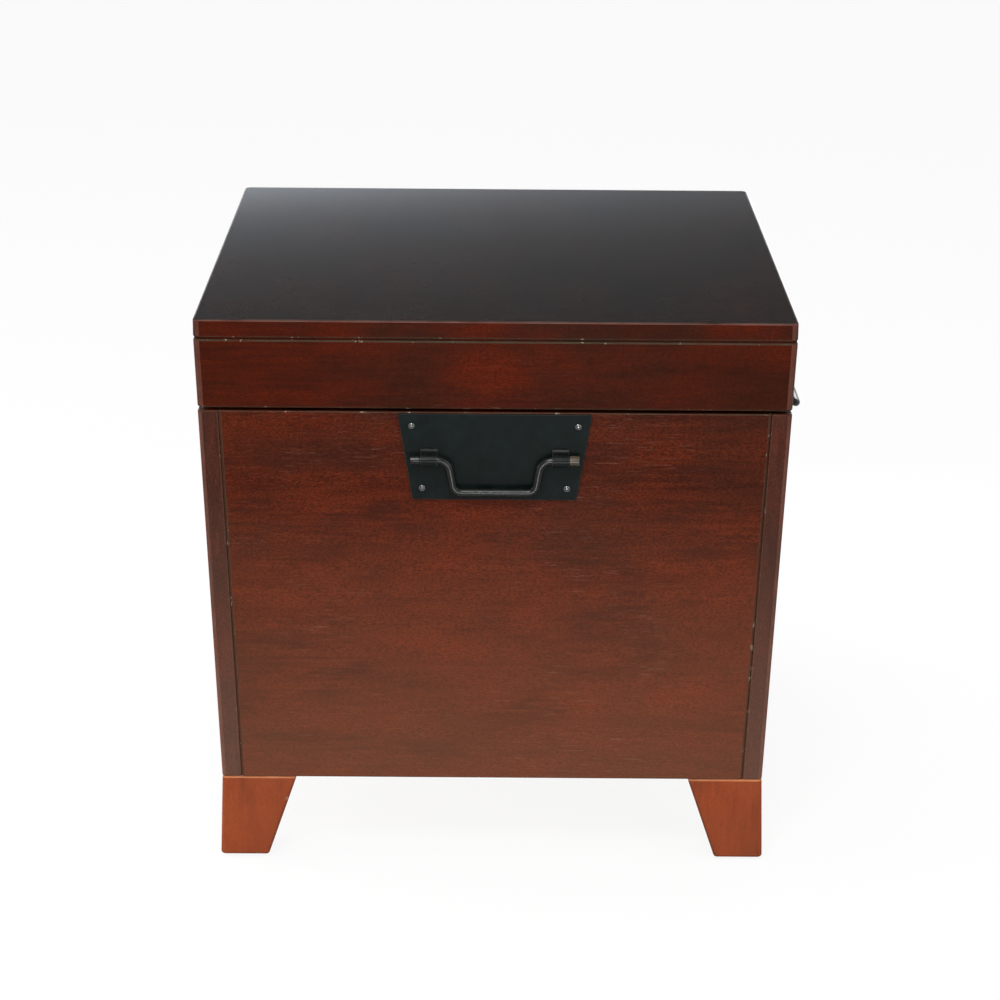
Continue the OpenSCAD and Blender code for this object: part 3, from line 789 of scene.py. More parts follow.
@dataclass(frozen=True)
class StainedWood:
    """Stained and lacquered wood: a clear figure under a satin film.

    Towards the bottom a paler colour is added by height: painted light standing in for the light
    that the floor throws onto the lower part. Rounded edges are rubbed, and the edges of seams
    hold grime and are chipped.
    """

    name: str
    dark: Colour
    light: Colour
    glow: Colour
    grit: Colour
    glow_share: float = 0.7
    dull: Colour = (0.040, 0.0150, 0.0095)
    dull_share: float = 0.6
    grit_share: float = 0.55
    hair: Colour = (0.15, 0.062, 0.040)
    hair_share: float = 0.5
    rubbed: Colour = (0.27, 0.135, 0.105)
    grime: Colour = (0.060, 0.046, 0.029)
    bare: Colour = (0.42, 0.36, 0.27)
    # Painted light from the floor: colour added towards the bottom, and the heights over which it
    # grows from none to all
    haze: Colour = (0.0, 0.0, 0.0)
    haze_heights: Span = (0.385, 0.1)
    rub_share: float = 0.8
    grime_share: float = 0.9
    chip_share: float = 0.8
    rough: Span = (0.42, 0.56)
    figure_scale: Triple = (1, 1, 1)
    gloss: Gloss = Gloss(ior=1.08, bump=0.16)

    def build(self, effects: Effects, grain: Grain) -> Material:
        """Makes the material.

        Args:
            effects: the shared groups.
            grain: direction of the grain.

        Returns:
            The material.
        """
        material, tree, shader, place = start_material(f"{self.name}_{grain.value}", self.gloss)
        turns = {
            Grain.ALONG_X: (0, 0, 0),
            Grain.ALONG_Y: (0, 0, math.pi / 2),
            Grain.ALONG_Z: (0, math.pi / 2, 0),
        }
        along = tree.stretched(place, self.figure_scale, turns[grain])
        figure = tree.add("ShaderNodeGroup", {"Place": along}, node_tree=effects.figure)
        wear = add_wear(tree, effects, place)
        # Painted light: share of the floor's painted light, from none at the upper height to all
        # at the lower
        height = tree.add("ShaderNodeSeparateXYZ", {0: place}).outputs["Z"]
        low = tree.remap(height, self.haze_heights)
        stain = tree.layers(tree.mix(figure.outputs["Streak"], self.dark, self.light), figure, (
            ("Glow", self.glow_share, self.glow),
            ("Dull", self.dull_share, self.dull),
            ("Grit", self.grit_share, self.grit),
            ("Hair", self.hair_share, self.hair),
        ))
        # Adds the painted floor light, more of it lower down, before the edge wear
        stain = tree.layers(tree.mix(low, stain, self.haze, "ADD"), wear, (
            ("Rub", self.rub_share, self.rubbed),
            ("Grime", self.grime_share, self.grime),
            ("Chip", self.chip_share, self.bare),
        ))
        rough = tree.remap(figure.outputs["Grit"], (0, 1), self.rough)
        dress_shader(tree, shader, stain, rough, figure.outputs["Height"], self.gloss)
        return material


@dataclass(frozen=True)
class Iron:
    """Metal with a cloudy skin, rubbed on its marked edges."""

    name: str
    base: Colour
    cloud: Colour
    rubbed: Colour
    rub_share: float = 0.6
    rough: Span = (0.38, 0.55)
    gloss: Gloss = Gloss(ior=1.25, bump=0.25)

    def build(self, effects: Effects) -> Material:
        """Makes the material.

        Args:
            effects: the shared groups.

        Returns:
            The material.
        """
        material, tree, shader, place = start_material(self.name, self.gloss)
        skin = tree.add("ShaderNodeGroup", {"Place": place}, node_tree=effects.skin)
        wear = add_wear(tree, effects, place)
        metal = tree.mix(skin.outputs["Cloud"], self.base, self.cloud)
        metal = tree.layers(metal, wear, (("Rub", self.rub_share, self.rubbed),))
        rough = tree.remap(skin.outputs["Cloud"], (0, 1), self.rough)
        dress_shader(tree, shader, metal, rough, skin.outputs["Height"], self.gloss)
        return material


@dataclass(frozen=True)
class PlainStock:
    """Stock that only shows underneath or inside, such as bare wood, nylon or rubber."""

    name: str
    base: Colour
    second: Colour
    fineness: Triple
    rough: Span = (0.6, 0.8)
    gloss: Gloss = Gloss(ior=1.4, bump=0.15)

    def build(self) -> Material:
        """Makes the material.

        Returns:
            The material.
        """
        material, tree, shader, place = start_material(self.name, self.gloss)
        figure = tree.grained(place, self.fineness, 4.0, 0.6)
        spread = tree.remap(figure, (0.3, 0.7))
        colour = tree.mix(spread, self.base, self.second)
        rough = tree.remap(spread, (0, 1), self.rough)
        dress_shader(tree, shader, colour, rough, figure, self.gloss)
        return material


class Finishes:
    """Every finish of the table, built once."""

    def __init__(self, effects: Effects) -> None:
        """Builds the materials.

        Args:
            effects: the shared groups.
        """
        board = StainedWood(
            "stained_board",
            dark=(0.043, 0.0080, 0.0040), light=(0.103, 0.0168, 0.0060),
            glow=(0.150, 0.0200, 0.0052), glow_share=0.62,
            dull=(0.056, 0.0150, 0.0074), dull_share=0.5,
            grit=(0.020, 0.0054, 0.0034), grit_share=0.68,
            # painted floor light, added towards the bottom
            haze=(0.067, 0.0325, 0.0190),
        )
        rail = StainedWood(
            "stained_rail",
            dark=(0.038, 0.0060, 0.0024), light=(0.075, 0.0092, 0.0028),
            glow=(0.108, 0.0104, 0.0021), glow_share=0.6,
            dull=(0.024, 0.0078, 0.0036), dull_share=0.65,
            grit=(0.018, 0.0046, 0.0022), hair_share=0.12,
        )
        lip = replace(
            rail, name="stained_lip", light=(0.066, 0.0088, 0.0029),
            dull=(0.020, 0.0100, 0.0060), dull_share=0.9,
        )
        top = StainedWood(
            "stained_top",
            dark=(0.0070, 0.0042, 0.0026), light=(0.0128, 0.0066, 0.0044),
            glow=(0.0200, 0.0070, 0.0042), dull=(0.0080, 0.0068, 0.0060),
            grit=(0.0030, 0.0026, 0.0022), grit_share=0.7,
            hair=(0.030, 0.024, 0.021), hair_share=0.3,
            rubbed=(0.13, 0.080, 0.070), rough=(0.14, 0.23),
            figure_scale=(1.5, 0.33, 0.33), gloss=Gloss(ior=1.020, bump=0.04),
        )
        edge = StainedWood(
            "stained_edge",
            dark=(0.050, 0.0140, 0.0090), light=(0.085, 0.0240, 0.0150),
            glow=(0.115, 0.0240, 0.0130), dull=(0.046, 0.0230, 0.0165),
            grit=(0.024, 0.0100, 0.0075), hair_share=0.3,
            # painted floor light, added towards the bottom
            haze=(0.040, 0.032, 0.024),
        )
        foot = StainedWood(
            "stained_foot",
            dark=(0.185, 0.042, 0.017), light=(0.27, 0.056, 0.021),
            glow=(0.34, 0.070, 0.023), dull=(0.22, 0.060, 0.028),
            grit=(0.14, 0.034, 0.015), grit_share=0.3,
            hair=(0.38, 0.14, 0.07), hair_share=0.2,
            # The rub colour shows only on the top arris, where it is a painted highlight along the
            # lit top edge as well as a light rub
            rubbed=(0.60, 0.24, 0.11), grime=(0.10, 0.030, 0.015),
        )
        self.board_x = board.build(effects, Grain.ALONG_X)
        self.board_y = board.build(effects, Grain.ALONG_Y)
        self.rail_x = rail.build(effects, Grain.ALONG_X)
        self.rail_y = rail.build(effects, Grain.ALONG_Y)
        self.lip_x = lip.build(effects, Grain.ALONG_X)
        self.top_x = top.build(effects, Grain.ALONG_X)
        self.edge_z = edge.build(effects, Grain.ALONG_Z)
        self.foot_z = foot.build(effects, Grain.ALONG_Z)
        self.dark_iron = Iron(
            "dark_iron",
            base=(0.0008, 0.0034, 0.0033), cloud=(0.0085, 0.0125, 0.0122),
            rubbed=(0.050, 0.055, 0.050), rub_share=0.45,
            gloss=Gloss(ior=1.11, bump=0.5),
        ).build(effects)
        self.rolled_iron = Iron(
            "rolled_iron",
            base=(0.0028, 0.0050, 0.0046), cloud=(0.0110, 0.0135, 0.0122),
            # The rub colour shows on the knuckles' eased edges, as a painted highlight there
            # together with a rub
            rubbed=(0.055, 0.058, 0.050), rub_share=0.45,
            rough=(0.22, 0.34), gloss=Gloss(ior=1.15, bump=0.4),
        ).build(effects)
        self.worn_iron = Iron(
            "worn_iron",
            base=(0.0025, 0.0035, 0.0032), cloud=(0.0080, 0.0095, 0.0080),
            rubbed=(0.15, 0.115, 0.072), rub_share=0.75,
            rough=(0.17, 0.27), gloss=Gloss(ior=1.27, bump=0.4),
        ).build(effects)
        self.screw_metal = Iron(
            "bright_screw",
            base=(0.004, 0.005, 0.005), cloud=(0.012, 0.013, 0.013), rubbed=(0.12, 0.12, 0.12),
            rough=(0.12, 0.20), gloss=Gloss(ior=1.80, bump=0.05),
        ).build(effects)
        self.zinc = Iron(
            "zinc_steel",
            base=(0.42, 0.43, 0.44), cloud=(0.56, 0.57, 0.57), rubbed=(0.70, 0.70, 0.69),
            rough=(0.3, 0.46), gloss=Gloss(metallic=1.0, bump=0.08),
        ).build(effects)
        self.softwood = PlainStock(
            "plain_wood", (0.50, 0.33, 0.19), (0.62, 0.45, 0.28), (9, 90, 90)
        ).build()
        self.plywood = PlainStock(
            "plywood", (0.52, 0.37, 0.23), (0.66, 0.51, 0.34), (8, 70, 70)
        ).build()
        self.nylon = PlainStock(
            "nylon_glide", (0.030, 0.016, 0.010), (0.045, 0.024, 0.015), (60, 60, 60), (0.4, 0.55)
        ).build()
        self.rubber = PlainStock(
            "bumper_rubber", (0.018, 0.018, 0.018), (0.03, 0.03, 0.03), (90, 90, 90), (0.75, 0.9)
        ).build()


# Where the leaning faces stand


@dataclass(frozen=True)
class Shell:
    """The table's leaning outer faces, measured from the frame."""

    middle: Vector
    half_top: Span
    rail_top: float
    lean: float = math.radians(2.2)
    board: float = 0.019
    glue: float = 0.0001

    @classmethod
    def measured(cls) -> "Shell":
        """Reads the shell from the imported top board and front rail.

        Returns:
            The shell.
        """
        low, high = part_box("top_board")
        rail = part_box("lid_front_rail")[1]
        middle = (low + high) / 2
        half = ((high.x - low.x) / 2, (high.y - low.y) / 2)
        return cls(Vector((middle.x, middle.y, 0)), half, rail.z)

    @property
    def run(self) -> float:
        """How far a face moves inwards for each metre down."""
        return math.tan(self.lean)

    @property
    def wall(self) -> float:
        """A board's thickness, measured level."""
        return self.board / math.cos(self.lean)

    def half_width(self, z: float) -> float:
        """Half the outer width at a height."""
        return self.half_top[0] - self.run * (self.rail_top - z)

    def half_depth(self, z: float) -> float:
        """Half the outer depth at a height."""
        return self.half_top[1] - self.run * (self.rail_top - z)

    def reach(self, side: Side, z: float) -> float:
        """Distance from the middle to a side's outer face at a height."""
        return self.half_depth(z) if side.across else self.half_width(z)

    def plan(self, z: float, inset_x: float = 0.0, inset_y: float = 0.0) -> Plan:
        """Outline of the table at a height.

        Args:
            z: the height.
            inset_x: how far it is drawn in at the left and right.
            inset_y: how far it is drawn in at the front and back.

        Returns:
            The rectangle.
        """
        x = self.half_width(z) - inset_x
        y = self.half_depth(z) - inset_y
        return Plan((self.middle.x - x, self.middle.x + x), (self.middle.y - y, self.middle.y + y))

    def board_plan(self, z: float, side: Side, inset: float, outer: float = 0.0) -> Plan:
        """Outline of one board of a side at a height.

        Args:
            z: the height.
            side: the side that the board stands on.
            inset: how far the board's ends lie inside the outline.
            outer: how far its face lies behind the outer face.

        Returns:
            The rectangle.
        """
        whole = self.plan(z, inset if side.across else 0.0, 0.0 if side.across else inset)
        spans = [whole.x, whole.y]
        square = int(side.across)
        way = side.value[square]
        face = spans[square][way > 0]
        spans[square] = tuple(sorted((face - way * outer, face - way * self.wall)))
        return Plan(*spans)

    def face_place(self, side: Side, z: float) -> Matrix:
        """Frame on a leaning face, with local -Y out of the face and local Z up along it.

        Args:
            side: the side.
            z: the height.

        Returns:
            The frame's place.
        """
        spot = self.middle + side.outward * self.reach(side, z) + Vector((0, 0, z))
        lean = Matrix.Rotation(self.lean, 4, "X")
        return Matrix.Translation(spot) @ Matrix.Rotation(side.turn, 4, "Z") @ lean


@dataclass
class Lid:
    """The box lid: a top board on four mitred rails."""

    shell: Shell
    finishes: Finishes
    corner_round: float = 0.0060
    top_round: float = 0.0017
    small_round: float = 0.0016
    foot_round: float = 0.0020
    groove_width: float = 0.0018
    groove_depth: float = 0.0018
    # The board's sides are the faces whose normal rises less than this
    lip_below: float = 0.35
    # An edge within this many corner roundings of a face counts as lying on it
    corner_reach: float = 1.5

    def build(self) -> None:
        """Makes the top board and the four rails."""
        self._top_board()
        for side in Side:
            self._rail(side, f"lid_{side.word}_rail")

    def _top_board(self) -> None:
        """Shapes the top board, with a narrow tongue that leaves a groove under its edge."""
        low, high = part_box("top_board")
        plan = Plan((low.x, high.x), (low.y, high.y))
        bottom = low.z + self.groove_width
        bench = Bench.block("finished_top_board", plan, plan, (bottom, high.z))
        bench.ease(self.corner_round, is_upright, segments=7, worn=0.3)
        bench.pick(Part.FACE, lambda f: f.normal.z < -FACING)
        bpy.ops.mesh.inset(thickness=self.groove_depth)
        bench.draw((0, 0, -self.groove_width))
        bench.ease(self.top_round, sharp_at(high.z), worn=0.6)
        over_groove = sharp_at(bottom)
        bench.ease(
            self.small_round,
            lambda e: over_groove(e) and plan.borders(middle_of(e)),
            segments=2,
            aged=0.5,
        )
        piece = bench.finish()
        fit(piece, "lid", "top_board", self.finishes.top_x)
        dress_faces(piece, self.finishes.lip_x, lambda n: n.z < self.lip_below)

    def _rail(self, side: Side, node: str) -> None:
        """Saws one mitred rail out of a block with the lid's whole outline.

        Args:
            side: the side that the rail stands on.
            node: the rail's node.
        """
        low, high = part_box(node)
        shell = self.shell
        plans = (shell.plan(low.z), shell.plan(high.z))
        bench = Bench.block(f"finished_{node}", *plans, (low.z, high.z))
        bench.ease(self.corner_round, is_upright, segments=7, worn=0.3)
        out = side.outward
        inner_face = out * (shell.reach(side, high.z) - shell.wall) + Vector((0, 0, high.z))
        bench.cut(shell.middle + inner_face, out - Vector((0, 0, shell.run)))
        along = Vector((side.across, not side.across, 0))
        for way in (-1, 1):
            signs = out + along * way
            corner = Vector(
                (signs.x * shell.half_width(high.z), signs.y * shell.half_depth(high.z), 0)
            )
            mitre = out - along * way
            bench.cut(shell.middle + corner + mitre.normalized() * shell.glue, mitre)
        for width, segments, level, aged in (
            (self.foot_round, 3, low.z, 0.35),
            (self.small_round, 2, high.z, 1.0),
        ):
            at_level = sharp_at(level)
            bench.ease(width, lambda e: at_level(e) and self._outer(e, side), segments, aged=aged)
        finish = self.finishes.rail_x if side.across else self.finishes.rail_y
        fit(bench.finish(), "lid", node, finish)

    def _outer(self, edge: Edge, side: Side) -> bool:
        """Says whether an edge lies on the outer face of a side or on its rounded corners.

        Args:
            edge: the edge.
            side: the side.

        Returns:
            True for such an edge.
        """
        point = middle_of(edge) - self.shell.middle
        least = self.shell.reach(side, point.z) - self.corner_reach * self.corner_round
        return abs(point.dot(side.outward)) > least


@dataclass
class Case:
    """The case: a front and a back board between two side boards."""

    shell: Shell
    finishes: Finishes
    corner_round: float = 0.0040
    edge_round: float = 0.0013
    groove_width: float = 0.0018
    groove_depth: float = 0.0018
    # How much grime the front and back boards' upright edges hold
    upright_aged: float = 0.35
    # End grain shows on the faces whose normal points this much along the board
    end_grain_from: float = 0.8

    def build(self) -> None:
        """Makes the four boards."""
        for side in (Side.LEFT, Side.RIGHT):
            self._side_board(side, f"{side.word}_side_panel")
        for side in (Side.FRONT, Side.BACK):
            self._end_board(side, f"{side.word}_panel")

    def _side_board(self, side: Side, node: str) -> None:
        """Shapes a side board, whose ends show at the front and the back.

        Args:
            side: LEFT or RIGHT.
            node: the board's node.
        """
        low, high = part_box(node)
        shell = self.shell
        plans = (shell.board_plan(z, side, 0.0) for z in (low.z, high.z))
        bench = Bench.block(f"finished_{node}", *plans, (low.z, high.z))

        def on_outer_face(edge: Edge) -> bool:
            """Says whether an edge is upright and lies on the outer face."""
            off = abs(middle_of(edge).x - shell.middle.x)
            return is_upright(edge) and off > shell.half_width(middle_of(edge).z) - NEAR

        bench.ease(self.corner_round, on_outer_face, segments=5, worn=0.3)
        bench.ease(self.edge_round, is_sharp, worn=0.1, aged=0.25)
        piece = bench.finish()
        fit(piece, "case", node, self.finishes.board_y)
        dress_faces(piece, self.finishes.edge_z, lambda n: abs(n.y) > self.end_grain_from)

    def _end_board(self, side: Side, node: str) -> None:
        """Shapes the front or the back board, cut back along its ends for the open lines.

        Args:
            side: FRONT or BACK.
            node: the board's node.
        """
        low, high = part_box(node)
        shell = self.shell
        inset = shell.wall + shell.glue
        depth = self.groove_depth
        plans = (shell.board_plan(z, side, inset, depth) for z in (low.z, high.z))
        bench = Bench.block(f"finished_{node}", *plans, (low.z, high.z))
        for way in (-1, 1):
            x = shell.half_width(high.z) - inset - self.groove_width
            line = shell.middle + Vector((way * x, 0, high.z))
            bench.score(line, Vector((1, 0, -way * shell.run)))
        facing = side.value[1]
        inner = shell.half_width((low.z + high.z) / 2) - inset - self.groove_width
        bench.pick(
            Part.FACE,
            lambda f: f.normal.y * facing > FACING
            and abs(f.calc_center_median().x - shell.middle.x) < inner,
        )
        bench.draw((0, facing * depth, 0))
        bench.ease(self.edge_round, is_sharp, worn=0.15, aged=0.8)
        bench.pick(Part.FACE, lambda f: abs(f.normal.x) > TURNED)
        bench.mark(AGED, self.upright_aged, STRIP * self.edge_round)
        fit(bench.finish(), "case", node, self.finishes.board_x)


@dataclass
class Feet:
    """Four block feet, straight on the outside and cut back on the inside."""

    shell: Shell
    finishes: Finishes
    top_width: float = 0.0725
    bottom_width: float = 0.047
    splay: float = 0.0026
    outer_round: float = 0.0050
    inner_round: float = 0.0024
    top_round: float = 0.0020
    bottom_round: float = 0.0026

    def build(self) -> None:
        """Shapes one foot and sets a mirrored copy at every corner."""
        low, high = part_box("rear_right_foot")
        x = self.shell.half_width(high.z)
        y = self.shell.half_depth(high.z)
        out_x, out_y = x + self.splay, y + self.splay
        bench = Bench.block(
            "foot_pattern",
            Plan((out_x - self.bottom_width, out_x), (out_y - self.bottom_width, out_y)),
            Plan((x - self.top_width, x), (y - self.top_width, y)),
            (low.z, high.z),
        )

        def is_outer_corner(edge: Edge) -> bool:
            """Says whether an edge is the foot's upright outer corner."""
            point = middle_of(edge)
            return is_upright(edge) and point.x > x and point.y > y

        bench.ease(self.outer_round, is_outer_corner, segments=5)
        bench.ease(self.inner_round, lambda e: is_sharp(e) and not self._level(e), aged=0.5)
        # Painted highlight: the top arris is marked almost fully rubbed, so it takes the pale rub
        # colour as a lit edge line
        bench.ease(self.top_round, sharp_at(high.z), worn=0.9)
        bench.ease(self.bottom_round, sharp_at(low.z), aged=0.4)
        pattern = bench.finish()
        middle = Matrix.Translation(self.shell.middle)
        for y_way, row in ((1, "rear"), (-1, "front")):
            for x_way, word in ((1, "right"), (-1, "left")):
                node = f"{row}_{word}_foot"
                place = middle @ Matrix.Diagonal((x_way, y_way, 1, 1))
                foot = copied(pattern, f"finished_{node}", place)
                fit(foot, "case", node, self.finishes.foot_z)
        bpy.data.objects.remove(pattern)

    @staticmethod
    def _level(edge: Edge) -> bool:
        """Says whether an edge runs level."""
        return abs(edge.verts[0].co.z - edge.verts[1].co.z) < NEAR


# How far each bail stands out from hanging straight down, in degrees
BAIL_ANGLES = {Side.FRONT: 0, Side.LEFT: 0, Side.RIGHT: 54}


@dataclass
class BailHandle:
    """One iron handle: a tapered plate, two rolled knuckles, four screws and a bail."""

    shell: Shell
    finishes: Finishes
    side: Side
    swing: float
    plate_top: float = 0.181
    plate_bottom: float = 0.154
    plate_height: float = 0.084
    plate_thickness: float = 0.002
    plate_corner: float = 0.0025
    top_corner: float = 0.0012
    rim: float = 0.0005
    axis_below_top: float = 0.043
    seat: float = 0.0001
    bar: float = 0.004
    span: float = 0.107
    drop: float = 0.0313
    upper_bend: float = 0.012
    lower_bend: float = 0.008
    turn: float = math.radians(80)
    grip_parts: int = 4
    knuckle: float = 0.016
    strap: float = 0.0019
    strap_root: float = 0.0095
    fit_gap: float = 0.00008
    seam: float = math.radians(308)
    head_radius: float = 0.00475
    head_length: float = 0.0094
    head_gap: float = 0.0004
    # Steps in length, and shares of the head's radius, at its near and its far end
    head_start: tuple[Span, ...] = ((0.00005, 0.93), (0.0007, 1.0))
    head_end: tuple[Span, ...] = ((0.0006, 0.94), (0.00025, 0.752))
    head_worn: float = 0.75
    dome: float = 0.0034
    # Shares of the dome's radius: its height, and the mouth and floor of its recess
    dome_height: float = 0.62
    recess_mouth: float = 0.82
    recess_floor: float = 0.6
    # Shares of the dome's height at which its rings stand
    dome_rings: tuple[float, ...] = (0.3, 0.55, 0.76, 0.92)
    recess: float = 0.0009
    recess_lip: float = 0.0002
    screw_inset: float = 0.0115
    screw_margin: float = 0.011

    @property
    def roll(self) -> float:
        """Outer radius of a rolled knuckle."""
        return self.bar + self.fit_gap + self.strap

    @property
    def offset(self) -> float:
        """Distance of the bail's axis from the board's face, square to it."""
        return self.seat + self.plate_thickness + self.seat + self.roll

    def build(self) -> None:
        """Makes the four nodes of the handle."""
        word = self.side.word
        joint = next(j for j in frame["joints"] if j["name"] == f"{word}_bail_swing")
        axis = Vector(joint["pos_m"])
        height = axis.z + self.offset * math.sin(self.shell.lean)
        place = self.shell.face_place(self.side, height)
        finishes = self.finishes
        for kind, pattern, slot, finish in (
            ("plate", self._plate(), "dark_iron", finishes.dark_iron),
            ("knuckles", self._knuckles(), "dark_iron", finishes.rolled_iron),
            ("screws", self._screws(), "bright_screw", finishes.screw_metal),
        ):
            node = f"{word}_handle_{kind}"
            fit(self._moved(pattern, f"finished_{node}", place), "case", node, finish)
        turn = Matrix.Rotation(self.side.turn, 4, "Z") @ Matrix.Rotation(-self.swing, 4, "X")
        node = f"{word}_bail"
        bail = self._moved(self._bail(), f"finished_{node}", Matrix.Translation(axis) @ turn)
        fit(bail, node, node, finishes.worn_iron)

    @staticmethod
    def _moved(pattern: Piece, name: str, place: Matrix) -> Piece:
        """Sets a pattern's copy in place and removes the pattern.

        Args:
            pattern: the piece in its own frame.
            name: the copy's name.
            place: where that frame stands.

        Returns:
            The copy.
        """
        piece = copied(pattern, name, place)
        bpy.data.objects.remove(pattern)
        return piece

    def _half_at(self, z: float) -> float:
        """Half the plate's width at a height above the axis."""
        slope = (self.plate_top - self.plate_bottom) / 2 / self.plate_height
        return self.plate_bottom / 2 + slope * (z + self.plate_height - self.axis_below_top)

    def _plate(self) -> Piece:
        """Shapes the tapered plate, with rounded corners and an eased rim.

        Returns:
            The plate, in the frame of the leaning face.
        """
        low = self.axis_below_top - self.plate_height
        faces = (-self.seat - self.plate_thickness, -self.seat)
        bench = Bench.block(
            "plate_pattern",
            Plan((-self.plate_bottom / 2, self.plate_bottom / 2), faces),
            Plan((-self.plate_top / 2, self.plate_top / 2), faces),
            (low, self.axis_below_top),
        )

        def is_through(edge: Edge) -> bool:
            """Says whether an edge runs through the plate's thickness."""
            return abs(edge.verts[0].co.y - edge.verts[1].co.y) > self.plate_thickness / 2

        def on_rim(edge: Edge) -> bool:
            """Says whether a sharp edge lies on the plate's outer face."""
            return is_sharp(edge) and middle_of(edge).y < faces[0] + TOUCH

        for radius, segments, way in ((self.plate_corner, 6, -1), (self.top_corner, 3, 1)):
            bench.ease(
                radius, lambda e: is_through(e) and way * middle_of(e).z > 0, segments, worn=0.5
            )
        bench.ease(self.rim, on_rim, segments=2, worn=1.0)
        return bench.finish()

    def _knuckles(self) -> Piece:
        """Rolls a strap round the bar, and mirrors it for the other end.

        Returns:
            Both knuckles, in the frame of the leaning face.
        """
        root = self.offset - self.roll
        strap = (-root - self.strap, -root)
        width = (self.span / 2, self.span / 2 + self.knuckle)
        plan = Plan(width, strap)
        bench = Bench.block("knuckle_pattern", plan, plan, (0, self.strap_root))
        bench.pick(Part.FACE, lambda f: f.normal.z < -FACING)
        bench.bend(self.seam, Vector((0, -self.offset, 0)), Vector((1, 0, 0)), steps=30)
        bench.tidy()
        # Painted highlight: the strap's eased edges are marked fully rubbed, giving thin light
        # edge lines besides a rub
        bench.ease(self.rim, is_sharp, segments=2, worn=1.0)
        right = bench.finish()
        left = copied(right, "knuckle_pattern_left", Matrix.Diagonal((-1, 1, 1, 1)))
        return joined("knuckles_pattern", [right, left])

    def _screws(self) -> Piece:
        """Domes one screw head with a driver recess, and copies it to the four corners.

        Returns:
            The four heads, in the frame of the leaning face.
        """
        rise = self.dome_height * self.dome - self.rim
        profile = [(-self.rim, self.dome)]
        height = 0.0
        for share in self.dome_rings:
            profile.append((height - share * rise, self.dome * math.sqrt(1 - share * share)))
            height = share * rise
        mouth = self.recess_mouth * profile[-1][1]
        profile += [(self.recess_lip, mouth), (self.recess, self.recess_floor * mouth)]
        bench = Bench.ring("screw_pattern", self.dome, corners=20)
        bench.lathe(self.dome, profile)
        bench.pick(Part.EDGE, lambda e: e.is_boundary)
        bpy.ops.mesh.edge_face_add()
        pattern = bench.finish(smooth_under=40)
        heads = []
        upper = self.axis_below_top - self.screw_inset
        lower = self.axis_below_top - self.plate_height + self.screw_inset
        for z in (upper, lower):
            for way in (-1, 1):
                x = way * (self._half_at(z) - self.screw_margin)
                spot = Vector((x, self.roll - self.offset, z))
                place = Matrix.Translation(spot) @ Matrix.Rotation(math.pi / 2, 4, "Z")
                heads.append(copied(pattern, "screw_head", place))
        bpy.data.objects.remove(pattern)
        return joined("screws_pattern", heads)

    def _bail(self) -> Piece:
        """Bends half a bar from the middle of the grip to its upset head, and mirrors it.

        Returns:
            The bail, hanging straight down from an axis along X.
        """
        rise, run = math.sin(self.turn), math.cos(self.turn)
        bends = self.upper_bend + self.lower_bend
        straight = (self.drop - bends * (1 - run)) / rise
        grip = self.span / 2 - bends * rise - straight * run
        bench = Bench.ring("bail_pattern", self.bar, corners=28)
        bench.shift((0, 0, -self.drop))
        for _ in range(self.grip_parts):
            bench.draw((grip / self.grip_parts, 0, 0))
        lower = Vector((grip, 0, self.lower_bend - self.drop))
        upper = Vector((self.span / 2, 0, -self.upper_bend))
        bench.bend(self.turn, lower, Vector((0, 1, 0)), steps=14)
        bench.draw((straight * run, 0, straight * rise))
        bench.bend(self.turn, upper, Vector((0, -1, 0)), steps=18)
        ends = sum(step for step, _ in self.head_start + self.head_end)
        steps = (*self.head_start, (self.head_length - ends, 1.0), *self.head_end)
        head = [(step, share * self.head_radius) for step, share in steps]
        bench.lathe(self.bar, [(self.knuckle + self.head_gap, self.bar), *head])
        edge_of_head = self.span / 2 + self.knuckle
        bench.pick(Part.FACE, lambda f: f.calc_center_median().x > edge_of_head)
        bench.mark(WORN, self.head_worn)
        half = bench.finish(smooth_under=45)
        mirror = half.modifiers.new("other_half", "MIRROR")
        mirror.use_clip = True
        make_active(half)
        bpy.ops.object.modifier_apply(modifier=mirror.name)
        bench = Bench(half)
        bench.pick(Part.FACE, lambda f: f.calc_center_median().x < -edge_of_head)
        bench.mark(WORN, 0.0)
        return bench.finish(smooth_under=45)


@dataclass
class Glides:
    """Nail-on glides, turned with a rounded rim."""

    finishes: Finishes
    radius: float = 0.011
    rim: float = 0.0012
    gap: float = 0.0001

    def build(self) -> None:
        """Turns one glide for every foot."""
        low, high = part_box("foot_glides")
        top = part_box("rear_right_foot")[0].z - self.gap
        discs = []
        for x in (low.x + self.radius, high.x - self.radius):
            for y in (low.y + self.radius, high.y - self.radius):
                deselect_all()
                bpy.ops.mesh.primitive_cylinder_add(
                    vertices=32, radius=self.radius, depth=top, location=(x, y, top / 2)
                )
                bpy.ops.object.transform_apply(location=True, rotation=True, scale=True)
                bench = Bench(bpy.context.object)
                bench.ease(self.rim, sharp_at(0.0))
                discs.append(bench.finish())
        glides = joined("finished_foot_glides", discs)
        fit(glides, "case", "foot_glides", self.finishes.nylon)


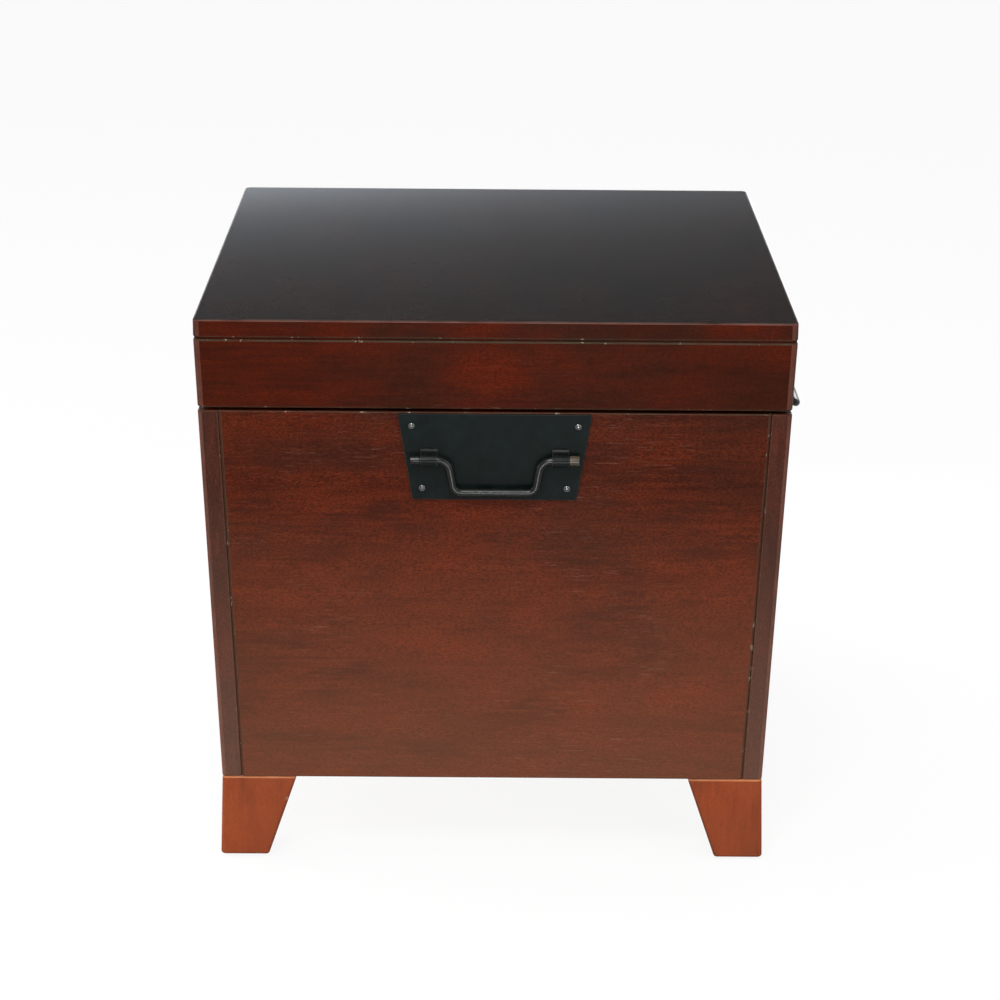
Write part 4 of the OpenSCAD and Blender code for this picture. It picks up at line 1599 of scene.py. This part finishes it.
@dataclass
class Hardware:
    """Solids whose shape is right as it is, and that only take a finish."""

    finishes: Finishes

    def build(self) -> None:
        """Dresses the inner wood, the hinges, the stays and the fasteners."""
        finishes = self.finishes
        words = (Side.LEFT.word, Side.RIGHT.word)
        leaves = [f"{word}_hinge_{part}_leaf" for word in words for part in ("case", "lid")]
        stays = [f"{word}_stay_{part}" for part in ("channel", "arm", "bracket") for word in words]
        dresses = {
            finishes.softwood: ("bottom_cleats", "corner_blocks", "lid_corner_blocks"),
            finishes.plywood: ("bottom_panel",),
            finishes.rubber: ("lid_bumpers",),
            finishes.dark_iron: (*leaves, "hinge_case_screws", "hinge_lid_screws"),
            finishes.zinc: (
                *(f"{word}_hinge_pin" for word in words), *stays,
                "stay_case_screws", "stay_lid_screws", "foot_bolts",
            ),
        }
        for finish, nodes in dresses.items():
            for node in nodes:
                piece = frame["nodes"][node]
                if piece.material_slots:
                    piece.material_slots[0].material = finish
                else:
                    piece.data.materials.append(finish)
            log.info("%s dresses %d solids", finish.name, len(nodes))


@dataclass(frozen=True)
class Lamp:
    """A square soft lamp that faces the table, or only shows in its reflections."""

    name: str
    place: Triple
    side: float
    power: float
    colour: Colour = (1.0, 1.0, 1.0)
    lights: bool = True


LAMPS = (
    Lamp("front_lamp", (-0.6, -2.7, 2.6), 2.4, 12, (1.0, 0.985, 0.96)),
    Lamp("front_right_lamp", (2.3, -2.2, 1.7), 2.0, 24, (1.0, 0.99, 0.97)),
    Lamp("left_lamp", (-3.0, 0.3, 1.3), 1.6, 60, (0.98, 0.985, 1.0)),
    Lamp("spark_lamp", (-0.35, -2.0, 2.5), 0.8, 37),
    Lamp("overhead_lamp", (0.2, 0.5, 3.4), 2.2, 12),
    Lamp("glint_lamp", (-0.25, -2.5, 1.6), 0.5, 24, lights=False),
    Lamp("low_glint_lamp", (0.05, -1.2, 0.17), 0.3, 4.4, (1.0, 0.98, 0.94), lights=False),
)


@dataclass
class Studio:
    """A pale floor, soft lamps and the photograph's camera."""

    aim: Triple = (0, 0, 0.27)
    floor_size: float = 40.0
    camera_place: Triple = (-0.01617, -2.94100, 1.20537)
    camera_pitch: float = 0.30555
    camera_yaw: float = 0.0037
    camera_roll: float = -0.00839
    focal_pixels: float = 2949.8
    picture: float = 1000.0
    sensor: float = 36.0
    strip_place: Triple = (-0.45, 1.1, 0.655)
    strip_size: Span = (1.9, 0.14)
    strip_roll: float = math.radians(5.5)
    strip_power: float = 12.0
    strip_colour: Colour = (0.82, 0.90, 1.0)
    floor_grey: float = 0.88
    floor_share: float = 0.9
    world_light: float = 0.55

    def build(self) -> None:
        """Sets up the floor, the world, the lamps and the camera."""
        self._floor()
        self._world()
        for lamp in LAMPS:
            self._hang(lamp)
        self._strip()
        self._camera()
        bpy.context.scene.view_settings.view_transform = "Standard"

    def _floor(self) -> None:
        """Lays the floor, white to the eye and in reflections but with the table's shadow."""
        deselect_all()
        bpy.ops.mesh.primitive_plane_add(size=self.floor_size, location=(0, 0, 0))
        floor = bpy.context.object
        floor.name = "studio_floor"
        bpy.ops.object.transform_apply(location=True, rotation=True, scale=True)
        material = bpy.data.materials.new("studio_floor")
        material.use_nodes = True
        tree = Tree(material.node_tree)
        material.node_tree.nodes.clear()
        paint = tree.add("ShaderNodeBsdfDiffuse", {"Color": (self.floor_grey,) * 3})
        white = tree.add("ShaderNodeEmission")
        share = tree.times(self._seen(tree), self.floor_share)
        tree.end_in_blend(share, paint, white, "ShaderNodeOutputMaterial")
        floor.data.materials.append(material)

    @staticmethod
    def _seen(tree: Tree) -> Socket:
        """Gives 1 where the camera, a reflection or a clear material looks, and 0 elsewhere.

        Args:
            tree: the tree to work in.

        Returns:
            The value.
        """
        path = tree.add("ShaderNodeLightPath").outputs
        seen = tree.work_out("MAXIMUM", path["Is Camera Ray"], path["Is Glossy Ray"])
        return tree.work_out("MAXIMUM", seen, path["Is Transmission Ray"])

    def _world(self) -> None:
        """Makes the surroundings white to the eye and a plain soft light elsewhere."""
        world = bpy.data.worlds.new("studio")
        bpy.context.scene.world = world
        world.use_nodes = True
        tree = Tree(world.node_tree)
        world.node_tree.nodes.clear()
        skies = [
            tree.add("ShaderNodeBackground", {"Color": (1, 1, 1), "Strength": strength})
            for strength in (self.world_light, 1.0)
        ]
        tree.end_in_blend(self._seen(tree), *skies, "ShaderNodeOutputWorld")

    @staticmethod
    def _lamp(name: str, sides: Span, power: float, colour: Colour) -> Piece:
        """Makes a soft lamp that the camera doesn't see.

        Args:
            name: the lamp's name.
            sides: lengths of its sides.
            power: its power in watts.
            colour: its colour.

        Returns:
            The lamp, not yet in its place.
        """
        light = bpy.data.lights.new(name, "AREA")
        light.shape = "RECTANGLE"
        light.size, light.size_y = sides
        light.energy = power
        light.color = colour
        lamp = bpy.data.objects.new(name, light)
        lamp.visible_camera = False
        bpy.context.scene.collection.objects.link(lamp)
        return lamp

    def _hang(self, lamp: Lamp) -> None:
        """Hangs one of the square lamps and aims it at the table.

        Args:
            lamp: the lamp to hang.
        """
        hung = self._lamp(lamp.name, (lamp.side, lamp.side), lamp.power, lamp.colour)
        hung.visible_diffuse = lamp.lights
        hung.location = lamp.place
        aim = Vector(self.aim) - Vector(lamp.place)
        hung.rotation_euler = aim.to_track_quat("-Z", "Y").to_euler()

    def _strip(self) -> None:
        """Stands a cool strip light low behind the table, for the sheen on the top's far part."""
        lamp = self._lamp("sheen_lamp", self.strip_size, self.strip_power, self.strip_colour)
        turn = Matrix.Rotation(-math.pi / 2, 4, "X") @ Matrix.Rotation(self.strip_roll, 4, "Z")
        lamp.matrix_world = Matrix.Translation(Vector(self.strip_place)) @ turn

    def _camera(self) -> None:
        """Sets the camera where the photograph was taken from."""
        data = bpy.data.cameras.new("photo_camera")
        data.sensor_width = self.sensor
        data.lens = self.focal_pixels / self.picture * self.sensor
        data.clip_end = 100
        camera = bpy.data.objects.new("photo_camera", data)
        turn = (
            Matrix.Rotation(-self.camera_yaw, 4, "Z")
            @ Matrix.Rotation(math.pi / 2 - self.camera_pitch, 4, "X")
            @ Matrix.Rotation(-self.camera_roll, 4, "Z")
        )
        camera.matrix_world = Matrix.Translation(Vector(self.camera_place)) @ turn
        bpy.context.scene.collection.objects.link(camera)
        bpy.context.scene.camera = camera


def main() -> None:
    """Builds the table's pieces and the studio in order."""
    logging.basicConfig(level=logging.INFO, format="%(name)s: %(message)s")
    shell = Shell.measured()
    finishes = Finishes(Effects())
    Studio().build()
    Lid(shell, finishes).build()
    Case(shell, finishes).build()
    Feet(shell, finishes).build()
    Glides(finishes).build()
    for side, angle in BAIL_ANGLES.items():
        BailHandle(shell, finishes, side, math.radians(angle)).build()
    Hardware(finishes).build()


if __name__ == "__main__":
    main()
